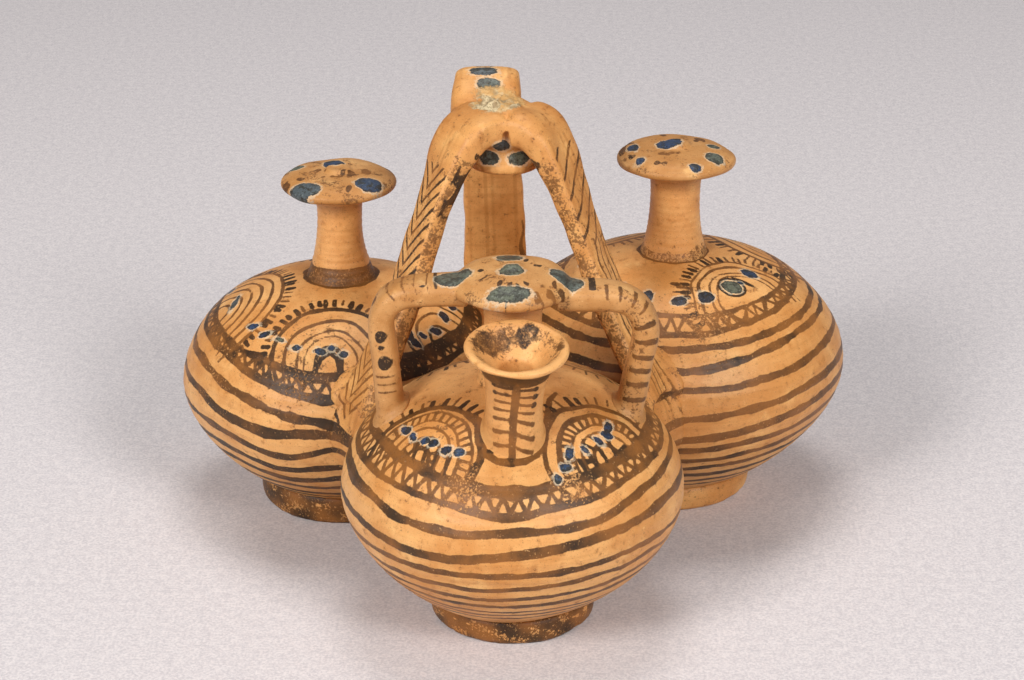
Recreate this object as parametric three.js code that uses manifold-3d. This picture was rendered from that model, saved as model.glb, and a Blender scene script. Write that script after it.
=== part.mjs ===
// A composite clay vessel: three squat jars pressed together in a triangle, joined by a three-legged
// basket handle that rises over them. The front jar is a stirrup jar: a closed false neck under a disc,
// two stirrup handles, and the one open spout. The two rear jars end in closed necks under discs, and
// share the spout through a port in each one's join with the front jar.
// Every piece is modelled as it was made: thrown or rolled by itself, then luted to its seat with slip.
// Millimetres, +Z up. The feet stand on z = 0, and the origin is under the middle of the plan's box.
import * as THREE from "three";
import { mergeVertices } from "three/addons/utils/BufferGeometryUtils.js";
import Module from "manifold-3d";

const wasm = await Module();
wasm.setup();

// Driving dimensions
const slip = 0.3; // the thin film of slip that joins each piece to its seat
const wall = 4.5; // thrown wall of a jar
const joinWall = 3.2; // what is left of a jar's wall where it is pressed flat on its neighbour
const neckWall = 3; // wall of a thrown neck
const beltExponent = 1.65; // below its belt a jar's outline lies between a cone and a ball

// Each jar: its largest radius, the height of that belt, and the rise of the shoulder's dome over it.
// Its underside is flat, a little above the ground. A neck's length runs from the dome's top to the
// disc, and the disc closes the neck.
const jars = {
  front: {
    radius: 50,
    belt: 40.3,
    rise: 34.3,
    recess: 3.2,
    foot: { radius: 24, bore: 16, flare: 0.5 },
    neck: { base: 10, waist: 8, top: 9, length: 25 },
    disc: { radius: 17.6, rim: 3.2, under: 1.4, dome: 5.4, boss: 3.2 },
  },
  left: {
    radius: 51,
    belt: 40.7,
    rise: 34.6,
    recess: 3.2,
    foot: { radius: 27, bore: 18, flare: 0.4 },
    neck: { base: 10.4, waist: 6.8, top: 7.4, length: 26.4 },
    disc: { radius: 17.9, rim: 3, under: 1.8, dome: 3.6, boss: 4.4 },
  },
  right: {
    radius: 55,
    belt: 43.4,
    rise: 36.9,
    recess: 3.2,
    foot: { radius: 26, bore: 17.5, flare: 0.6 },
    neck: { base: 10.2, waist: 7.6, top: 8.3, length: 26.4 },
    disc: { radius: 18.4, rim: 3, under: 1.8, dome: 4, boss: 4.6 },
  },
};
const footLap = 1; // how far in from a foot ring's outside the jar comes down on it
const footBevel = 0.9; // the ring's edges, rubbed down by hand
const discButton = 1; // height of the low button in the middle of a disc
const discSeat = 0.4; // how far a disc's flat seat reaches beyond its neck

// How far each two jars were pressed into each other while the clay was soft
const pressed = { frontLeft: 5.5, frontRight: 4.4, leftRight: 1 };
const portRadius = 5.5; // hole through both walls, by which the front jar feeds each rear one
const setTurn = 2.6; // degrees by which the group was set down turned to its left

const spout = {
  out: 25.5, // from the front jar's axis to the middle of the spout's base
  side: 0.5, // and a little to the right of it
  lean: 8.5, // degrees, outwards
  leanRight: 2.2,
  length: 27.4, // from the base's seat on the shoulder to the lip, along the spout
  sink: 9, // how far the tube runs on below the seat, before the shoulder trims it
  base: 10.2,
  waist: 7.7,
  lip: 14.6,
  lipRoll: 1.3,
  lipWall: 3.4,
  bore: 4.7,
  funnel: 11.5, // depth of the mouth's funnel, from the lip to the bore
};

// Stirrup handles: from the disc's rim, out level, and down to the shoulder. A handle's level is that
// of its middle over the front disc's underside.
const stirrup = {
  width: 11.5,
  rootWidth: 13.8,
  footWidth: 13.6,
  thickness: 7.5,
  cornerRadius: 12,
  left: { reach: 37.2, level: 1.6, foot: 34.4 },
  right: { reach: 37.6, level: 0.3, foot: 32.6 },
};

// The hub disc at the top of the basket handle: its height over the tallest shoulder, its flat rim, and
// the dome on it. Its middle lies a little left of the jars' centre.
const hub = { above: 38.8, side: -1.4, radius: 11, rim: 4.2, waist: 6.6, waistUp: 14.4, dome: 20.4 };

// The legs are straps. Each springs from the hub, turns over a crest and sinks into the valley between
// two jars. Crest and belly are the curve's control points, out from the hub's axis and up from the
// hub's underside. A leg is twisted on its way down, and drifts sideways from root to foot.
const legs = {
  left: { crest: [26.4, 22.2], belly: [22.6, -23], width: 14.6, twist: -14, drift: [0, 0] },
  right: { crest: [25, 21.6], belly: [23.4, -22], width: 15.6, twist: 10, drift: [0, 0] },
  rear: { crest: [31, 46], belly: [24, -21], width: 18, twist: 0, drift: [5.2, 0.4] },
};
const legRoot = { out: 6.8, up: 13.4, width: 20.6, thickness: 11.4 };
const legThickness = 6.6;
const legFoot = { past: 7, up: 12.6, spread: 3.4 }; // past the flat join's edge, up from the belts
// By these shares of its way down, a leg has narrowed, has thinned, and has its full twist
const legDown = { narrow: 0.5, thin: 0.34, twisted: 0.4 };

// Clay pressed into the valley under each leg's foot
const fillet = { radius: 8.4, above: 15, below: 26 };

// How finely round shapes are cut into facets
const jarSteps = 36;
const jarCurveSteps = 6;
const roundSteps = 24;
const curveSteps = 6;
const lumpSteps = 16;
const strapSides = 10;
const strapSteps = 12;

const clay = new THREE.Color(0.8, 0.55, 0.32);
const paleClay = new THREE.Color(0.84, 0.62, 0.4);
const warmClay = new THREE.Color(0.74, 0.46, 0.24);

const radians = THREE.MathUtils.degToRad;

// Solids

function solidOf(geometry) {
  const bare = new THREE.BufferGeometry();
  bare.setAttribute("position", geometry.getAttribute("position"));
  if (geometry.index) bare.setIndex(geometry.index);
  const merged = mergeVertices(bare, 1e-4);
  return new wasm.Manifold(
    new wasm.Mesh({
      numProp: 3,
      vertProperties: new Float32Array(merged.attributes.position.array),
      triVerts: new Uint32Array(merged.index.array),
    }),
  );
}

function geometryOf(solid) {
  const mesh = solid.getMesh();
  const geometry = new THREE.BufferGeometry();
  geometry.setAttribute("position", new THREE.BufferAttribute(mesh.vertProperties, 3));
  geometry.setIndex(new THREE.BufferAttribute(mesh.triVerts, 1));
  const flat = geometry.toNonIndexed();
  flat.computeVertexNormals();
  return flat;
}

// A turned solid: its outline runs upwards outside and back down inside, as pairs of radius and height
function turned(outline, steps = roundSteps) {
  const points = outline.map(([radius, height]) => new THREE.Vector2(Math.max(radius, 0), height));
  const closed = points[0].x > 0 || points.at(-1).x > 0;
  if (closed) points.push(points[0].clone());
  return new THREE.LatheGeometry(points, steps).rotateX(Math.PI / 2);
}

function turnedSolid(outline, [x, y], steps) {
  return solidOf(turned(outline, steps).translate(x, y, 0));
}

// A closed skin over a row of rings that hold the same number of points
function loft(rings) {
  const sides = rings[0].length;
  const corners = rings.flat().flatMap((point) => point.toArray());
  const faces = [];
  for (let row = 0; row + 1 < rings.length; row++) {
    for (let side = 0; side < sides; side++) {
      const a = row * sides + side;
      const b = row * sides + ((side + 1) % sides);
      faces.push(a, b, b + sides, a, b + sides, a + sides);
    }
  }
  const last = (rings.length - 1) * sides;
  for (let side = 1; side + 1 < sides; side++) {
    faces.push(0, side + 1, side, last, last + side, last + side + 1);
  }
  const geometry = new THREE.BufferGeometry();
  geometry.setAttribute("position", new THREE.Float32BufferAttribute(corners, 3));
  geometry.setIndex(faces);
  return geometry;
}

// A flat clay strap along a curve that lies in the x-z plane, with edges rounded by the fingers. The
// half width, half thickness, twist and sideways drift are given as functions of the way along.
function strap(curve, { halfWidth, halfThickness, twist = () => 0, drift = () => 0 }) {
  const rings = [];
  for (let step = 0; step <= strapSteps; step++) {
    const along = step / strapSteps;
    const middle = curve.getPointAt(along).add(new THREE.Vector3(0, drift(along), 0));
    const tangent = curve.getTangentAt(along);
    const level = new THREE.Vector3(0, 1, 0).applyAxisAngle(new THREE.Vector3(0, 0, 1), twist(along));
    const outwards = tangent.clone().cross(level).normalize();
    const across = outwards.clone().cross(tangent);
    const ring = [];
    for (let side = 0; side < strapSides; side++) {
      const turn = (2 * Math.PI * side) / strapSides;
      const u = fingered(Math.cos(turn)) * halfWidth(along);
      const v = fingered(Math.sin(turn)) * halfThickness(along);
      ring.push(middle.clone().addScaledVector(across, u).addScaledVector(outwards, v));
    }
    rings.push(ring);
  }
  return loft(rings);
}

// A strap's section lies between an ellipse and a box
function fingered(share) {
  return Math.sign(share) * Math.abs(share) ** 0.75;
}

function round(from, to, steps, pointAt) {
  const points = [];
  for (let step = 0; step <= steps; step++) points.push(pointAt(from + ((to - from) * step) / steps));
  return points;
}

// Where the jars stand: a triangle whose sides are the distances between their axes
const spacing = {
  frontLeft: jars.front.radius + jars.left.radius - pressed.frontLeft,
  frontRight: jars.front.radius + jars.right.radius - pressed.frontRight,
  leftRight: jars.left.radius + jars.right.radius - pressed.leftRight,
};

function placeJars() {
  const { frontLeft, frontRight, leftRight } = spacing;
  const opening = (frontLeft ** 2 + frontRight ** 2 - leftRight ** 2) / (2 * frontLeft * frontRight);
  const atFront = Math.acos(opening);
  const squareOn = Math.PI / 2; // the triangle's front corner opens evenly about the way back
  const reach = (length, turn) => new THREE.Vector2(Math.cos(turn), Math.sin(turn)).multiplyScalar(length);
  const left = reach(frontLeft, squareOn + atFront / 2 + radians(setTurn));
  const right = reach(frontRight, squareOn - atFront / 2 + radians(setTurn));
  const middle = left.clone().add(right).divideScalar(3);
  return { front: new THREE.Vector2(), left, right, middle };
}

const placed = placeJars();

// The plan's box runs from belt to belt, and its middle is the origin
function planMiddle() {
  const lows = Object.keys(jars).map((name) => placed[name].clone().subScalar(jars[name].radius));
  const highs = Object.keys(jars).map((name) => placed[name].clone().addScalar(jars[name].radius));
  const low = lows.reduce((a, b) => a.clone().min(b));
  const high = highs.reduce((a, b) => a.clone().max(b));
  return low.add(high).divideScalar(2);
}

const plan = planMiddle();
for (const name of Object.keys(jars)) jars[name].at = placed[name].clone().sub(plan);
const hubAt = placed.middle.clone().sub(plan).add(new THREE.Vector2(hub.side, 0));

// The joins: for each two jars, where they meet, which way they face and how wide the flat join is
function joinOf(a, b) {
  const across = b.at.clone().sub(a.at);
  const distance = across.length();
  across.normalize();
  const toFace = (distance ** 2 + a.radius ** 2 - b.radius ** 2) / (2 * distance);
  const middle = a.at.clone().addScaledVector(across, toFace);
  const along = new THREE.Vector2(-across.y, across.x);
  if (along.dot(middle.clone().sub(hubAt)) < 0) along.negate();
  const halfWidth = Math.sqrt(Math.max(a.radius ** 2 - toFace ** 2, 0));
  const height = (a.belt + b.belt) / 2;
  return { jars: [a, b], middle, across, along, halfWidth, height };
}

const joins = {
  left: joinOf(jars.front, jars.left),
  right: joinOf(jars.front, jars.right),
  rear: joinOf(jars.left, jars.right),
};
const portedJoins = [joins.left, joins.right];

// The outline of a jar's surface, grown outwards or, for its hollow, inwards
function belly(jar, grow, lowest, topRadius) {
  const radius = jar.radius + grow;
  const depth = jar.belt + grow;
  const rise = jar.rise + grow;
  const power = 2 / beltExponent;
  const start = Math.asin(((jar.belt - lowest) / depth) ** (1 / power));
  const below = round(start, 0, jarCurveSteps, (turn) => [
    radius * Math.cos(turn) ** power,
    jar.belt - depth * Math.sin(turn) ** power,
  ]);
  const above = round(0, Math.acos(topRadius / radius), jarCurveSteps, (turn) => [
    radius * Math.cos(turn),
    jar.belt + rise * Math.sin(turn),
  ]);
  return [...below, ...above.slice(1)];
}

// The height of a jar's dome at some radius, and that of its underside
function domeAt(jar, radius) {
  return jar.belt + jar.rise * Math.sqrt(1 - (radius / jar.radius) ** 2);
}

function undersideAt(jar, radius) {
  const share = 1 - (1 - (radius / jar.radius) ** beltExponent) ** (1 / beltExponent);
  return jar.belt * share;
}

const discUnderside = (jar) => jar.belt + jar.rise + jar.neck.length;

// All the room that a jar takes, with its film of slip. What sits on the jar is trimmed by this.
function jarRoom(jar) {
  const outline = belly(jar, slip, jar.recess - slip, 0);
  return turnedSolid([[0, jar.recess - slip], ...outline], jar.at, jarSteps);
}

// The half of space beyond a flat join, from a jar's side, starting some way short of the join
function beyondJoin(join, jar, short) {
  const size = 4 * jar.radius;
  const way = join.jars[0] === jar ? 1 : -1;
  const block = new THREE.BoxGeometry(size, size, size);
  block.translate(size / 2 + short, 0, 0);
  block.rotateZ(Math.atan2(way * join.across.y, way * join.across.x));
  block.translate(join.middle.x, join.middle.y, join.height);
  return solidOf(block);
}

function port(join) {
  const length = 6 * wall;
  const rod = new THREE.CylinderGeometry(portRadius, portRadius, length, lumpSteps);
  rod.rotateZ(Math.PI / 2);
  rod.rotateZ(Math.atan2(join.across.y, join.across.x));
  rod.translate(join.middle.x, join.middle.y, join.height);
  return solidOf(rod);
}

const neckBore = (jar) => jar.neck.waist - neckWall;

// A thrown jar: the hollow stays inside the flats where its neighbours press on it
function jarBody(jar) {
  const floor = jar.recess;
  const mouth = neckBore(jar);
  const skin = turnedSolid([[0, floor], ...belly(jar, 0, floor, mouth), [0, jar.belt]], jar.at, jarSteps);
  const roof = jar.belt + jar.rise;
  const inner = belly(jar, -wall, floor + wall, mouth);
  let hollow = turnedSolid([[0, floor + wall], ...inner, [mouth, roof], [0, roof]], jar.at, jarSteps);
  let body = skin;
  for (const join of Object.values(joins).filter((each) => each.jars.includes(jar))) {
    body = body.subtract(beyondJoin(join, jar, -slip / 2));
    hollow = hollow.subtract(beyondJoin(join, jar, -slip / 2 - joinWall));
    if (portedJoins.includes(join)) hollow = hollow.add(port(join));
  }
  return body.subtract(hollow);
}

function footRing(jar) {
  const { radius, bore, flare } = jar.foot;
  const height = undersideAt(jar, radius - footLap);
  const band = [
    [bore, 0],
    [radius - footBevel, 0],
    [radius, footBevel],
    [radius + flare, height - footBevel],
    [radius + flare - footBevel, height],
    [bore, height],
  ];
  return turnedSolid(band, jar.at).subtract(jarRoom(jar));
}

// A neck drawn in at its waist. It stands on the shoulder, and the shoulder trims its foot.
function neck(jar) {
  const { base, waist, top, length } = jar.neck;
  const seat = jar.belt + jar.rise;
  const height = length - slip;
  const outside = round(0, 1, curveSteps, (share) => {
    const low = (1 - share) ** 3.2 * (base - waist);
    const high = share ** 4 * (top - waist);
    return [waist + low + high, seat + height * share];
  });
  const skirt = domeAt(jar, base + 1) - slip - 1;
  const bore = neckBore(jar);
  return turnedSolid([[bore, skirt], [base, skirt], ...outside, [bore, seat + height]], jar.at);
}

// A disc that closes a neck: hollowed under its rim, domed above, with a low button in the middle
function discOutline(jar, grow = 0) {
  const { radius, rim, under, dome, boss } = jar.disc;
  const bottom = discUnderside(jar) - grow;
  const edge = discUnderside(jar) + under + rim / 2;
  const lip = round(-Math.PI / 2, Math.PI / 2, 3, (turn) => [
    radius - rim / 2 + (rim / 2 + grow) * Math.cos(turn),
    edge + (rim / 2 + grow) * Math.sin(turn),
  ]);
  const crownFoot = radius - rim / 2;
  const crownTop = Math.acos(boss / crownFoot);
  const crown = round(0, crownTop, 4, (turn) => [
    crownFoot * Math.cos(turn),
    edge + rim / 2 + grow + (dome - discButton) * Math.sin(turn),
  ]);
  const top = edge + rim / 2 + grow + dome;
  const seat = [[0, bottom], [jar.neck.top + discSeat + grow, bottom]];
  return [...seat, ...lip, ...crown.slice(1), [boss - discButton, top], [0, top]];
}

function disc(jar) {
  return turnedSolid(discOutline(jar), jar.at);
}

function discRoom(jar) {
  return turnedSolid(discOutline(jar, slip), jar.at);
}

// The spout's own frame: its axis leans outwards from the front jar's shoulder
const spoutSeat = domeAt(jars.front, spout.out);

function leaning(geometry) {
  const { x, y } = jars.front.at;
  geometry.rotateX(radians(spout.lean)).rotateY(radians(spout.leanRight));
  return geometry.translate(x + spout.side, y - spout.out, spoutSeat);
}

function spoutTube() {
  const { length, sink, base, waist, lip, lipRoll, lipWall, bore, funnel } = spout;
  const stem = round(0, 1, curveSteps, (share) => {
    const low = (1 - share) ** 2.6 * (base - waist);
    const high = share ** 5 * (lip - waist);
    return [waist + low + high, (length - lipRoll) * share];
  });
  const lipTop = [
    [lip, length - lipRoll / 2],
    [lip - lipRoll / 2, length],
    [lip - lipRoll, length],
  ];
  const mouth = round(0, 1, 4, (share) => [
    bore + (lip - lipWall - bore) * (1 - share) ** 1.7,
    length - lipRoll - (funnel - lipRoll) * share,
  ]);
  const tube = [[bore, -sink], [base, -sink], ...stem, ...lipTop, ...mouth];
  return solidOf(leaning(turned(tube))).subtract(jarRoom(jars.front));
}

// The hole in the shoulder that the spout's bore opens into
function spoutHole() {
  const { bore, sink } = spout;
  const rod = new THREE.CylinderGeometry(bore, bore, 4 * sink, roundSteps).rotateX(Math.PI / 2);
  return solidOf(leaning(rod));
}

// A stirrup handle: level from the disc, round a corner, and down to the shoulder
function stirrupHandle(way, { reach, level, foot }) {
  const jar = jars.front;
  const { width, rootWidth, footWidth, thickness, cornerRadius } = stirrup;
  const up = discUnderside(jar) + level;
  const inside = jar.disc.radius - jar.disc.rim;
  const end = domeAt(jar, foot) - thickness;
  const cornerIn = new THREE.Vector3(reach - cornerRadius, 0, up);
  const corner = new THREE.Vector3(reach + 1, 0, up);
  const cornerOut = new THREE.Vector3(reach, 0, up - cornerRadius);
  const path = new THREE.CurvePath();
  path.add(new THREE.LineCurve3(new THREE.Vector3(inside, 0, up), cornerIn));
  path.add(new THREE.QuadraticBezierCurve3(cornerIn, corner, cornerOut));
  path.add(new THREE.LineCurve3(cornerOut, new THREE.Vector3(foot, 0, end)));
  const handle = strap(path, {
    halfWidth: (along) => {
      const footFlare = (footWidth - width) * along ** 6;
      const rootFlare = (rootWidth - width) * (1 - along) ** 8;
      return (width + footFlare + rootFlare) / 2;
    },
    halfThickness: () => thickness / 2,
  });
  if (way < 0) handle.rotateZ(Math.PI);
  handle.translate(jar.at.x, jar.at.y, 0);
  return solidOf(handle).subtract(jarRoom(jar)).subtract(discRoom(jar));
}

const hubUnderside = Math.max(...Object.values(jars).map((jar) => jar.belt + jar.rise)) + hub.above;

function hubOutline(grow = 0) {
  const { radius, rim, waist, waistUp, dome } = hub;
  const bottom = hubUnderside - grow;
  const bevel = rim / 4;
  const dished = round(0, 1, curveSteps, (share) => [
    grow + radius - bevel + (waist - radius + bevel) * share,
    hubUnderside + rim + grow * share + (waistUp - rim) * share,
  ]);
  const knob = round(0, Math.PI / 2, 4, (turn) => [
    (waist + grow) * Math.cos(turn),
    hubUnderside + waistUp + (dome - waistUp + grow) * Math.sin(turn),
  ]);
  const edge = [
    [radius - bevel + grow, bottom],
    [radius + grow, bottom + bevel + grow],
    [radius + grow, bottom + rim - bevel + grow],
  ];
  return [[0, bottom], ...edge, ...dished, ...knob.slice(1)];
}

// A leg of the basket handle, in the upright plane through the hub that its join gives
function legStrap(leg, join, grow = 0) {
  const foot = join.middle.clone().addScaledVector(join.along, join.halfWidth + legFoot.past);
  const run = foot.clone().sub(hubAt);
  const [crestOut, crestUp] = leg.crest;
  const [bellyOut, bellyUp] = leg.belly;
  const curve = new THREE.CubicBezierCurve3(
    new THREE.Vector3(legRoot.out, 0, hubUnderside + legRoot.up),
    new THREE.Vector3(crestOut, 0, hubUnderside + crestUp),
    new THREE.Vector3(bellyOut, 0, hubUnderside + bellyUp),
    new THREE.Vector3(run.length(), 0, join.height + legFoot.up - grow),
  );
  const fade = (along, reach) => Math.max(1 - along / reach, 0) ** 2;
  const geometry = strap(curve, {
    halfWidth: (along) => {
      const root = (legRoot.width - leg.width) * fade(along, legDown.narrow);
      return (leg.width + root + legFoot.spread * along ** 4) / 2 + grow;
    },
    halfThickness: (along) => {
      const root = (legRoot.thickness - legThickness) * fade(along, legDown.thin);
      return (legThickness + root) / 2 + grow;
    },
    twist: (along) => radians(leg.twist) * Math.min(along / legDown.twisted, 1),
    drift: (along) => THREE.MathUtils.lerp(...leg.drift, along),
  });
  geometry.rotateZ(Math.atan2(run.y, run.x));
  return solidOf(geometry.translate(hubAt.x, hubAt.y, 0));
}

// A leg is trimmed by the jars, the hub and the legs that were set before it
function handleLeg(name) {
  const join = joins[name];
  const names = Object.keys(legs);
  const before = names.slice(0, names.indexOf(name)).map((other) => legStrap(legs[other], joins[other], slip));
  const around = [...join.jars.map(jarRoom), turnedSolid(hubOutline(slip), hubAt), ...before];
  return around.reduce((solid, room) => solid.subtract(room), legStrap(legs[name], join));
}

// Clay pressed into the valley between two jars, under a leg's foot
function joinFillet(leg, join) {
  const { radius, above, below } = fillet;
  const at = join.middle.clone().addScaledVector(join.along, join.halfWidth + legFoot.past / 2);
  const spindle = round(-Math.PI / 2, Math.PI / 2, curveSteps, (turn) => [
    radius * Math.cos(turn) ** 0.8,
    join.height + (turn < 0 ? below : above) * Math.sin(turn),
  ]);
  const lump = turnedSolid(spindle, at, lumpSteps);
  const trimmed = join.jars.reduce((solid, jar) => solid.subtract(jarRoom(jar)), lump);
  return trimmed.subtract(legStrap(leg, join, slip));
}

// The vessel
const vessel = new THREE.Group();
vessel.name = "composite_clay_vessel";

function add(name, solid, colour, roughness = 0.82) {
  const material = new THREE.MeshStandardMaterial({ color: colour, roughness, metalness: 0 });
  const mesh = new THREE.Mesh(geometryOf(solid), material);
  mesh.name = name;
  vessel.add(mesh);
}

for (const [name, jar] of Object.entries(jars)) {
  const body = jarBody(jar);
  add(`${name}_jar_body`, name === "front" ? body.subtract(spoutHole()) : body, clay);
  add(`${name}_foot_ring`, footRing(jar), warmClay);
  add(`${name}_neck`, neck(jar).subtract(jarRoom(jar)), paleClay);
  add(`${name}_disc`, disc(jar), paleClay);
}
add("spout", spoutTube(), paleClay);
add("stirrup_handle_left", stirrupHandle(-1, stirrup.left), paleClay);
add("stirrup_handle_right", stirrupHandle(1, stirrup.right), paleClay);
add("hub_disc", turnedSolid(hubOutline(), hubAt), paleClay);
for (const name of Object.keys(legs)) {
  add(`handle_leg_${name}`, handleLeg(name), warmClay);
  add(`join_fillet_${name}`, joinFillet(legs[name], joins[name]), warmClay);
}

export default vessel;
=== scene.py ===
# %% [markdown]
# # A composite clay vessel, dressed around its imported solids
# Three squat jars were thrown on a wheel, pressed together while the clay was soft, and tied at the
# top by a handle on three legs. Under the handle's crown each jar ends in a disc. The front jar is a
# stirrup jar: two handles run down from its disc, and beside them stands the only open spout.
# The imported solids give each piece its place. This lesson remodels every piece with the softness of
# hand-worked clay, then paints it with the brown slip, the blue-grey spots and the wear of the old pot.

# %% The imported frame
import math

import bpy
import numpy as np
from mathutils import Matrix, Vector


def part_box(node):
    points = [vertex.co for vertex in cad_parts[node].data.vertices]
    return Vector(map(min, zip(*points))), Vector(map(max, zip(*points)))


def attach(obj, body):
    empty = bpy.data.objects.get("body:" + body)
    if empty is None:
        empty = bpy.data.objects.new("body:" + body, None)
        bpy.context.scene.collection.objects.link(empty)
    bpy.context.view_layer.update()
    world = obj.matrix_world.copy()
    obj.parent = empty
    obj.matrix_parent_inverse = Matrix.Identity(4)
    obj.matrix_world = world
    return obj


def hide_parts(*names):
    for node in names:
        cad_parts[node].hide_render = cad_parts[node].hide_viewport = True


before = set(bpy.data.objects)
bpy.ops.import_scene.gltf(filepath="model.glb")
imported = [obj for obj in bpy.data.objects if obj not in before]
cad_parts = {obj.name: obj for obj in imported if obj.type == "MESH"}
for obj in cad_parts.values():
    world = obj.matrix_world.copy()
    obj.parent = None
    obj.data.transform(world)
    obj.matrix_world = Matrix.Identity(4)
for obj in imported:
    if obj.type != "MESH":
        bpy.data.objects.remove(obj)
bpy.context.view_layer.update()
MM = 0.001

# %% [markdown]
# ## The camera
# The camera comes first, so that every later step can be looked at from the same place. It stands
# three quarters of a metre off, looks down by 23 degrees, and has a long lens, as for a studio shot.

# %% Camera
camera_at = Vector((8.49, -725.77, 378.77)) * MM
camera_to = Vector((-0.37, 8.91, 62.1)) * MM
bpy.ops.object.camera_add(location=camera_at)
camera = bpy.context.object
camera.rotation_euler = (camera_to - camera_at).to_track_quat("-Z", "Y").to_euler()
camera.data.sensor_width = 36
camera.data.lens = 91.46
bpy.context.scene.camera = camera

# %% [markdown]
# ## The jars' measurements
# A jar is round, so an outline and an axis say all of its shape. Above its widest place, the belt, the
# outline is a quarter of an ellipse. Below the belt it lies between a cone and a ball, which a power
# of the cosine gives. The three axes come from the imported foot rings, so the pieces can't drift off.

# %% Measurements in millimetres
jars = {
    "front": dict(radius=50, belt=40.3, rise=34.3, foot=24, bore=16, flare=0.5, rows_seed=60,
                  neck=(10, 8, 9, 25), disc=(17.6, 3.2, 1.4, 5.4, 3.2)),
    "left": dict(radius=51, belt=40.7, rise=34.6, foot=27, bore=18, flare=0.4, rows_seed=160,
                 neck=(10.4, 6.8, 7.4, 26.4), disc=(17.9, 3, 1.8, 3.6, 4.4)),
    "right": dict(radius=55, belt=43.4, rise=36.9, foot=26, bore=17.5, flare=0.6, rows_seed=260,
                  neck=(10.2, 7.6, 8.3, 26.4), disc=(18.4, 3, 1.8, 4, 4.6)),
}
recess = 3.2  # how far the middle of an underside lies above the ground
belt_power = 1.65  # below the belt 1 would give a cone and 2 a ball
facet = 0.635  # the side of a facet on a body of 51 millimetres' radius

for name, jar in jars.items():
    low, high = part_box(f"{name}_foot_ring")
    jar["axis"] = np.array([(low.x + high.x) / 2, (low.y + high.y) / 2]) / MM
    print(name, "axis", jar["axis"].round(1))


def outline(jar, steps=400):
    """A jar's outline from the top down: radius, height, and the way along the skin."""
    turn = np.linspace(np.pi / 2, 0, steps)
    radius = jar["radius"] * np.cos(turn)
    height = jar["belt"] + jar["rise"] * np.sin(turn)
    power = 2 / belt_power
    last = np.arcsin(((jar["belt"] - recess) / jar["belt"]) ** (1 / power))
    turn = np.linspace(0, last, steps)[1:]
    radius = np.append(radius, jar["radius"] * np.cos(turn) ** power)
    height = np.append(height, jar["belt"] - jar["belt"] * np.sin(turn) ** power)
    way = np.append(0, np.cumsum(np.hypot(np.diff(radius), np.diff(height))))
    return radius, height, way


# %% [markdown]
# ## Helpers for modelling
# Operators act on whatever is selected, so each starts from a clean selection. A thrown piece is made
# as a potter thinks of it: an outline is drawn by extruding one vertex from point to point, and then
# spun about the wheel's axis.

# %% Helpers for modelling


def deselect():
    for other in list(bpy.context.selected_objects):
        other.select_set(False)


def pick(piece):
    """Selects one piece alone, and makes it the active one."""
    deselect()
    piece.select_set(True)
    bpy.context.view_layer.objects.active = piece


def edit(piece):
    pick(piece)
    bpy.ops.object.mode_set(mode="EDIT")
    bpy.ops.mesh.select_mode(type="VERT")
    bpy.ops.mesh.select_all(action="SELECT")


def leave():
    bpy.ops.object.mode_set(mode="OBJECT")


def points_of(piece):
    corners = np.empty(len(piece.data.vertices) * 3)
    piece.data.vertices.foreach_get("co", corners)
    return corners.reshape(-1, 3) / MM


def normals_of(piece):
    normals = np.empty(len(piece.data.vertices) * 3)
    piece.data.vertex_normals.foreach_get("vector", normals)
    return normals.reshape(-1, 3)


def move_points(piece, points):
    piece.data.vertices.foreach_set("co", (points * MM).ravel())
    piece.data.update()


def shift(piece, axis):
    """Moves a piece that was made about the z axis to an axis of its own."""
    points = points_of(piece)
    points[:, :2] += axis
    move_points(piece, points)


def in_between(at, ways, rows):
    """A table's rows, read at places between them."""
    return np.stack([np.interp(at, ways, column) for column in rows.T], 1)


def drawn(name, path):
    """One vertex, extruded along a path of radius and height."""
    deselect()
    bpy.ops.mesh.primitive_plane_add(size=MM, location=(path[0][0] * MM, 0, path[0][1] * MM))
    piece = bpy.context.object
    piece.name = name
    bpy.ops.object.transform_apply(location=True)
    edit(piece)
    bpy.ops.mesh.merge(type="CENTER")
    for here, there in zip(path, path[1:]):
        step = ((there[0] - here[0]) * MM, 0, (there[1] - here[1]) * MM)
        bpy.ops.mesh.extrude_vertices_move(TRANSFORM_OT_translate={"value": step})
    return piece


def spun(name, path, spacing, radius, finer=1, hidden=0):
    """A drawn outline, spun once round the z axis, divided finer by a modifier, and closed."""
    coarse = spacing * 2**finer
    pinhole = 0.25  # left open about the axis, and filled at the end
    touching = 0.002  # points this close are one, where the spin meets its start
    path = [(max(out, pinhole), up) for out, up in evenly(path, coarse, hidden)]
    piece = drawn(name, path)
    bpy.ops.mesh.select_all(action="SELECT")
    steps = int(2 * math.pi * radius / coarse)
    bpy.ops.mesh.spin(steps=steps, angle=2 * math.pi, center=(0, 0, 0), axis=(0, 0, 1))
    bpy.ops.mesh.select_all(action="SELECT")
    bpy.ops.mesh.remove_doubles(threshold=touching * MM)
    bpy.ops.mesh.select_all(action="SELECT")
    bpy.ops.mesh.normals_make_consistent(inside=False)
    leave()
    applied(piece, "SUBSURF", levels=finer)
    edit(piece)
    bpy.ops.mesh.fill_holes(sides=0)
    bpy.ops.mesh.normals_make_consistent(inside=False)
    leave()
    bpy.ops.object.shade_smooth()
    return piece


def evenly(path, spacing, hidden):
    """A path's points, spread anew at an even spacing. Near the axis, out of sight, it is wider."""
    path = np.array(path, float)
    way = np.append(0, np.cumsum(np.hypot(*np.diff(path, axis=0).T)))
    density = np.where(path[:, 0] < hidden, 0.2, 1)
    effort = np.append(0, np.cumsum(np.diff(way) * (density[1:] + density[:-1]) / 2))
    count = max(int(effort[-1] / spacing), 8)
    return in_between(np.interp(np.linspace(0, effort[-1], count + 1), effort, way), way, path)


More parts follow.
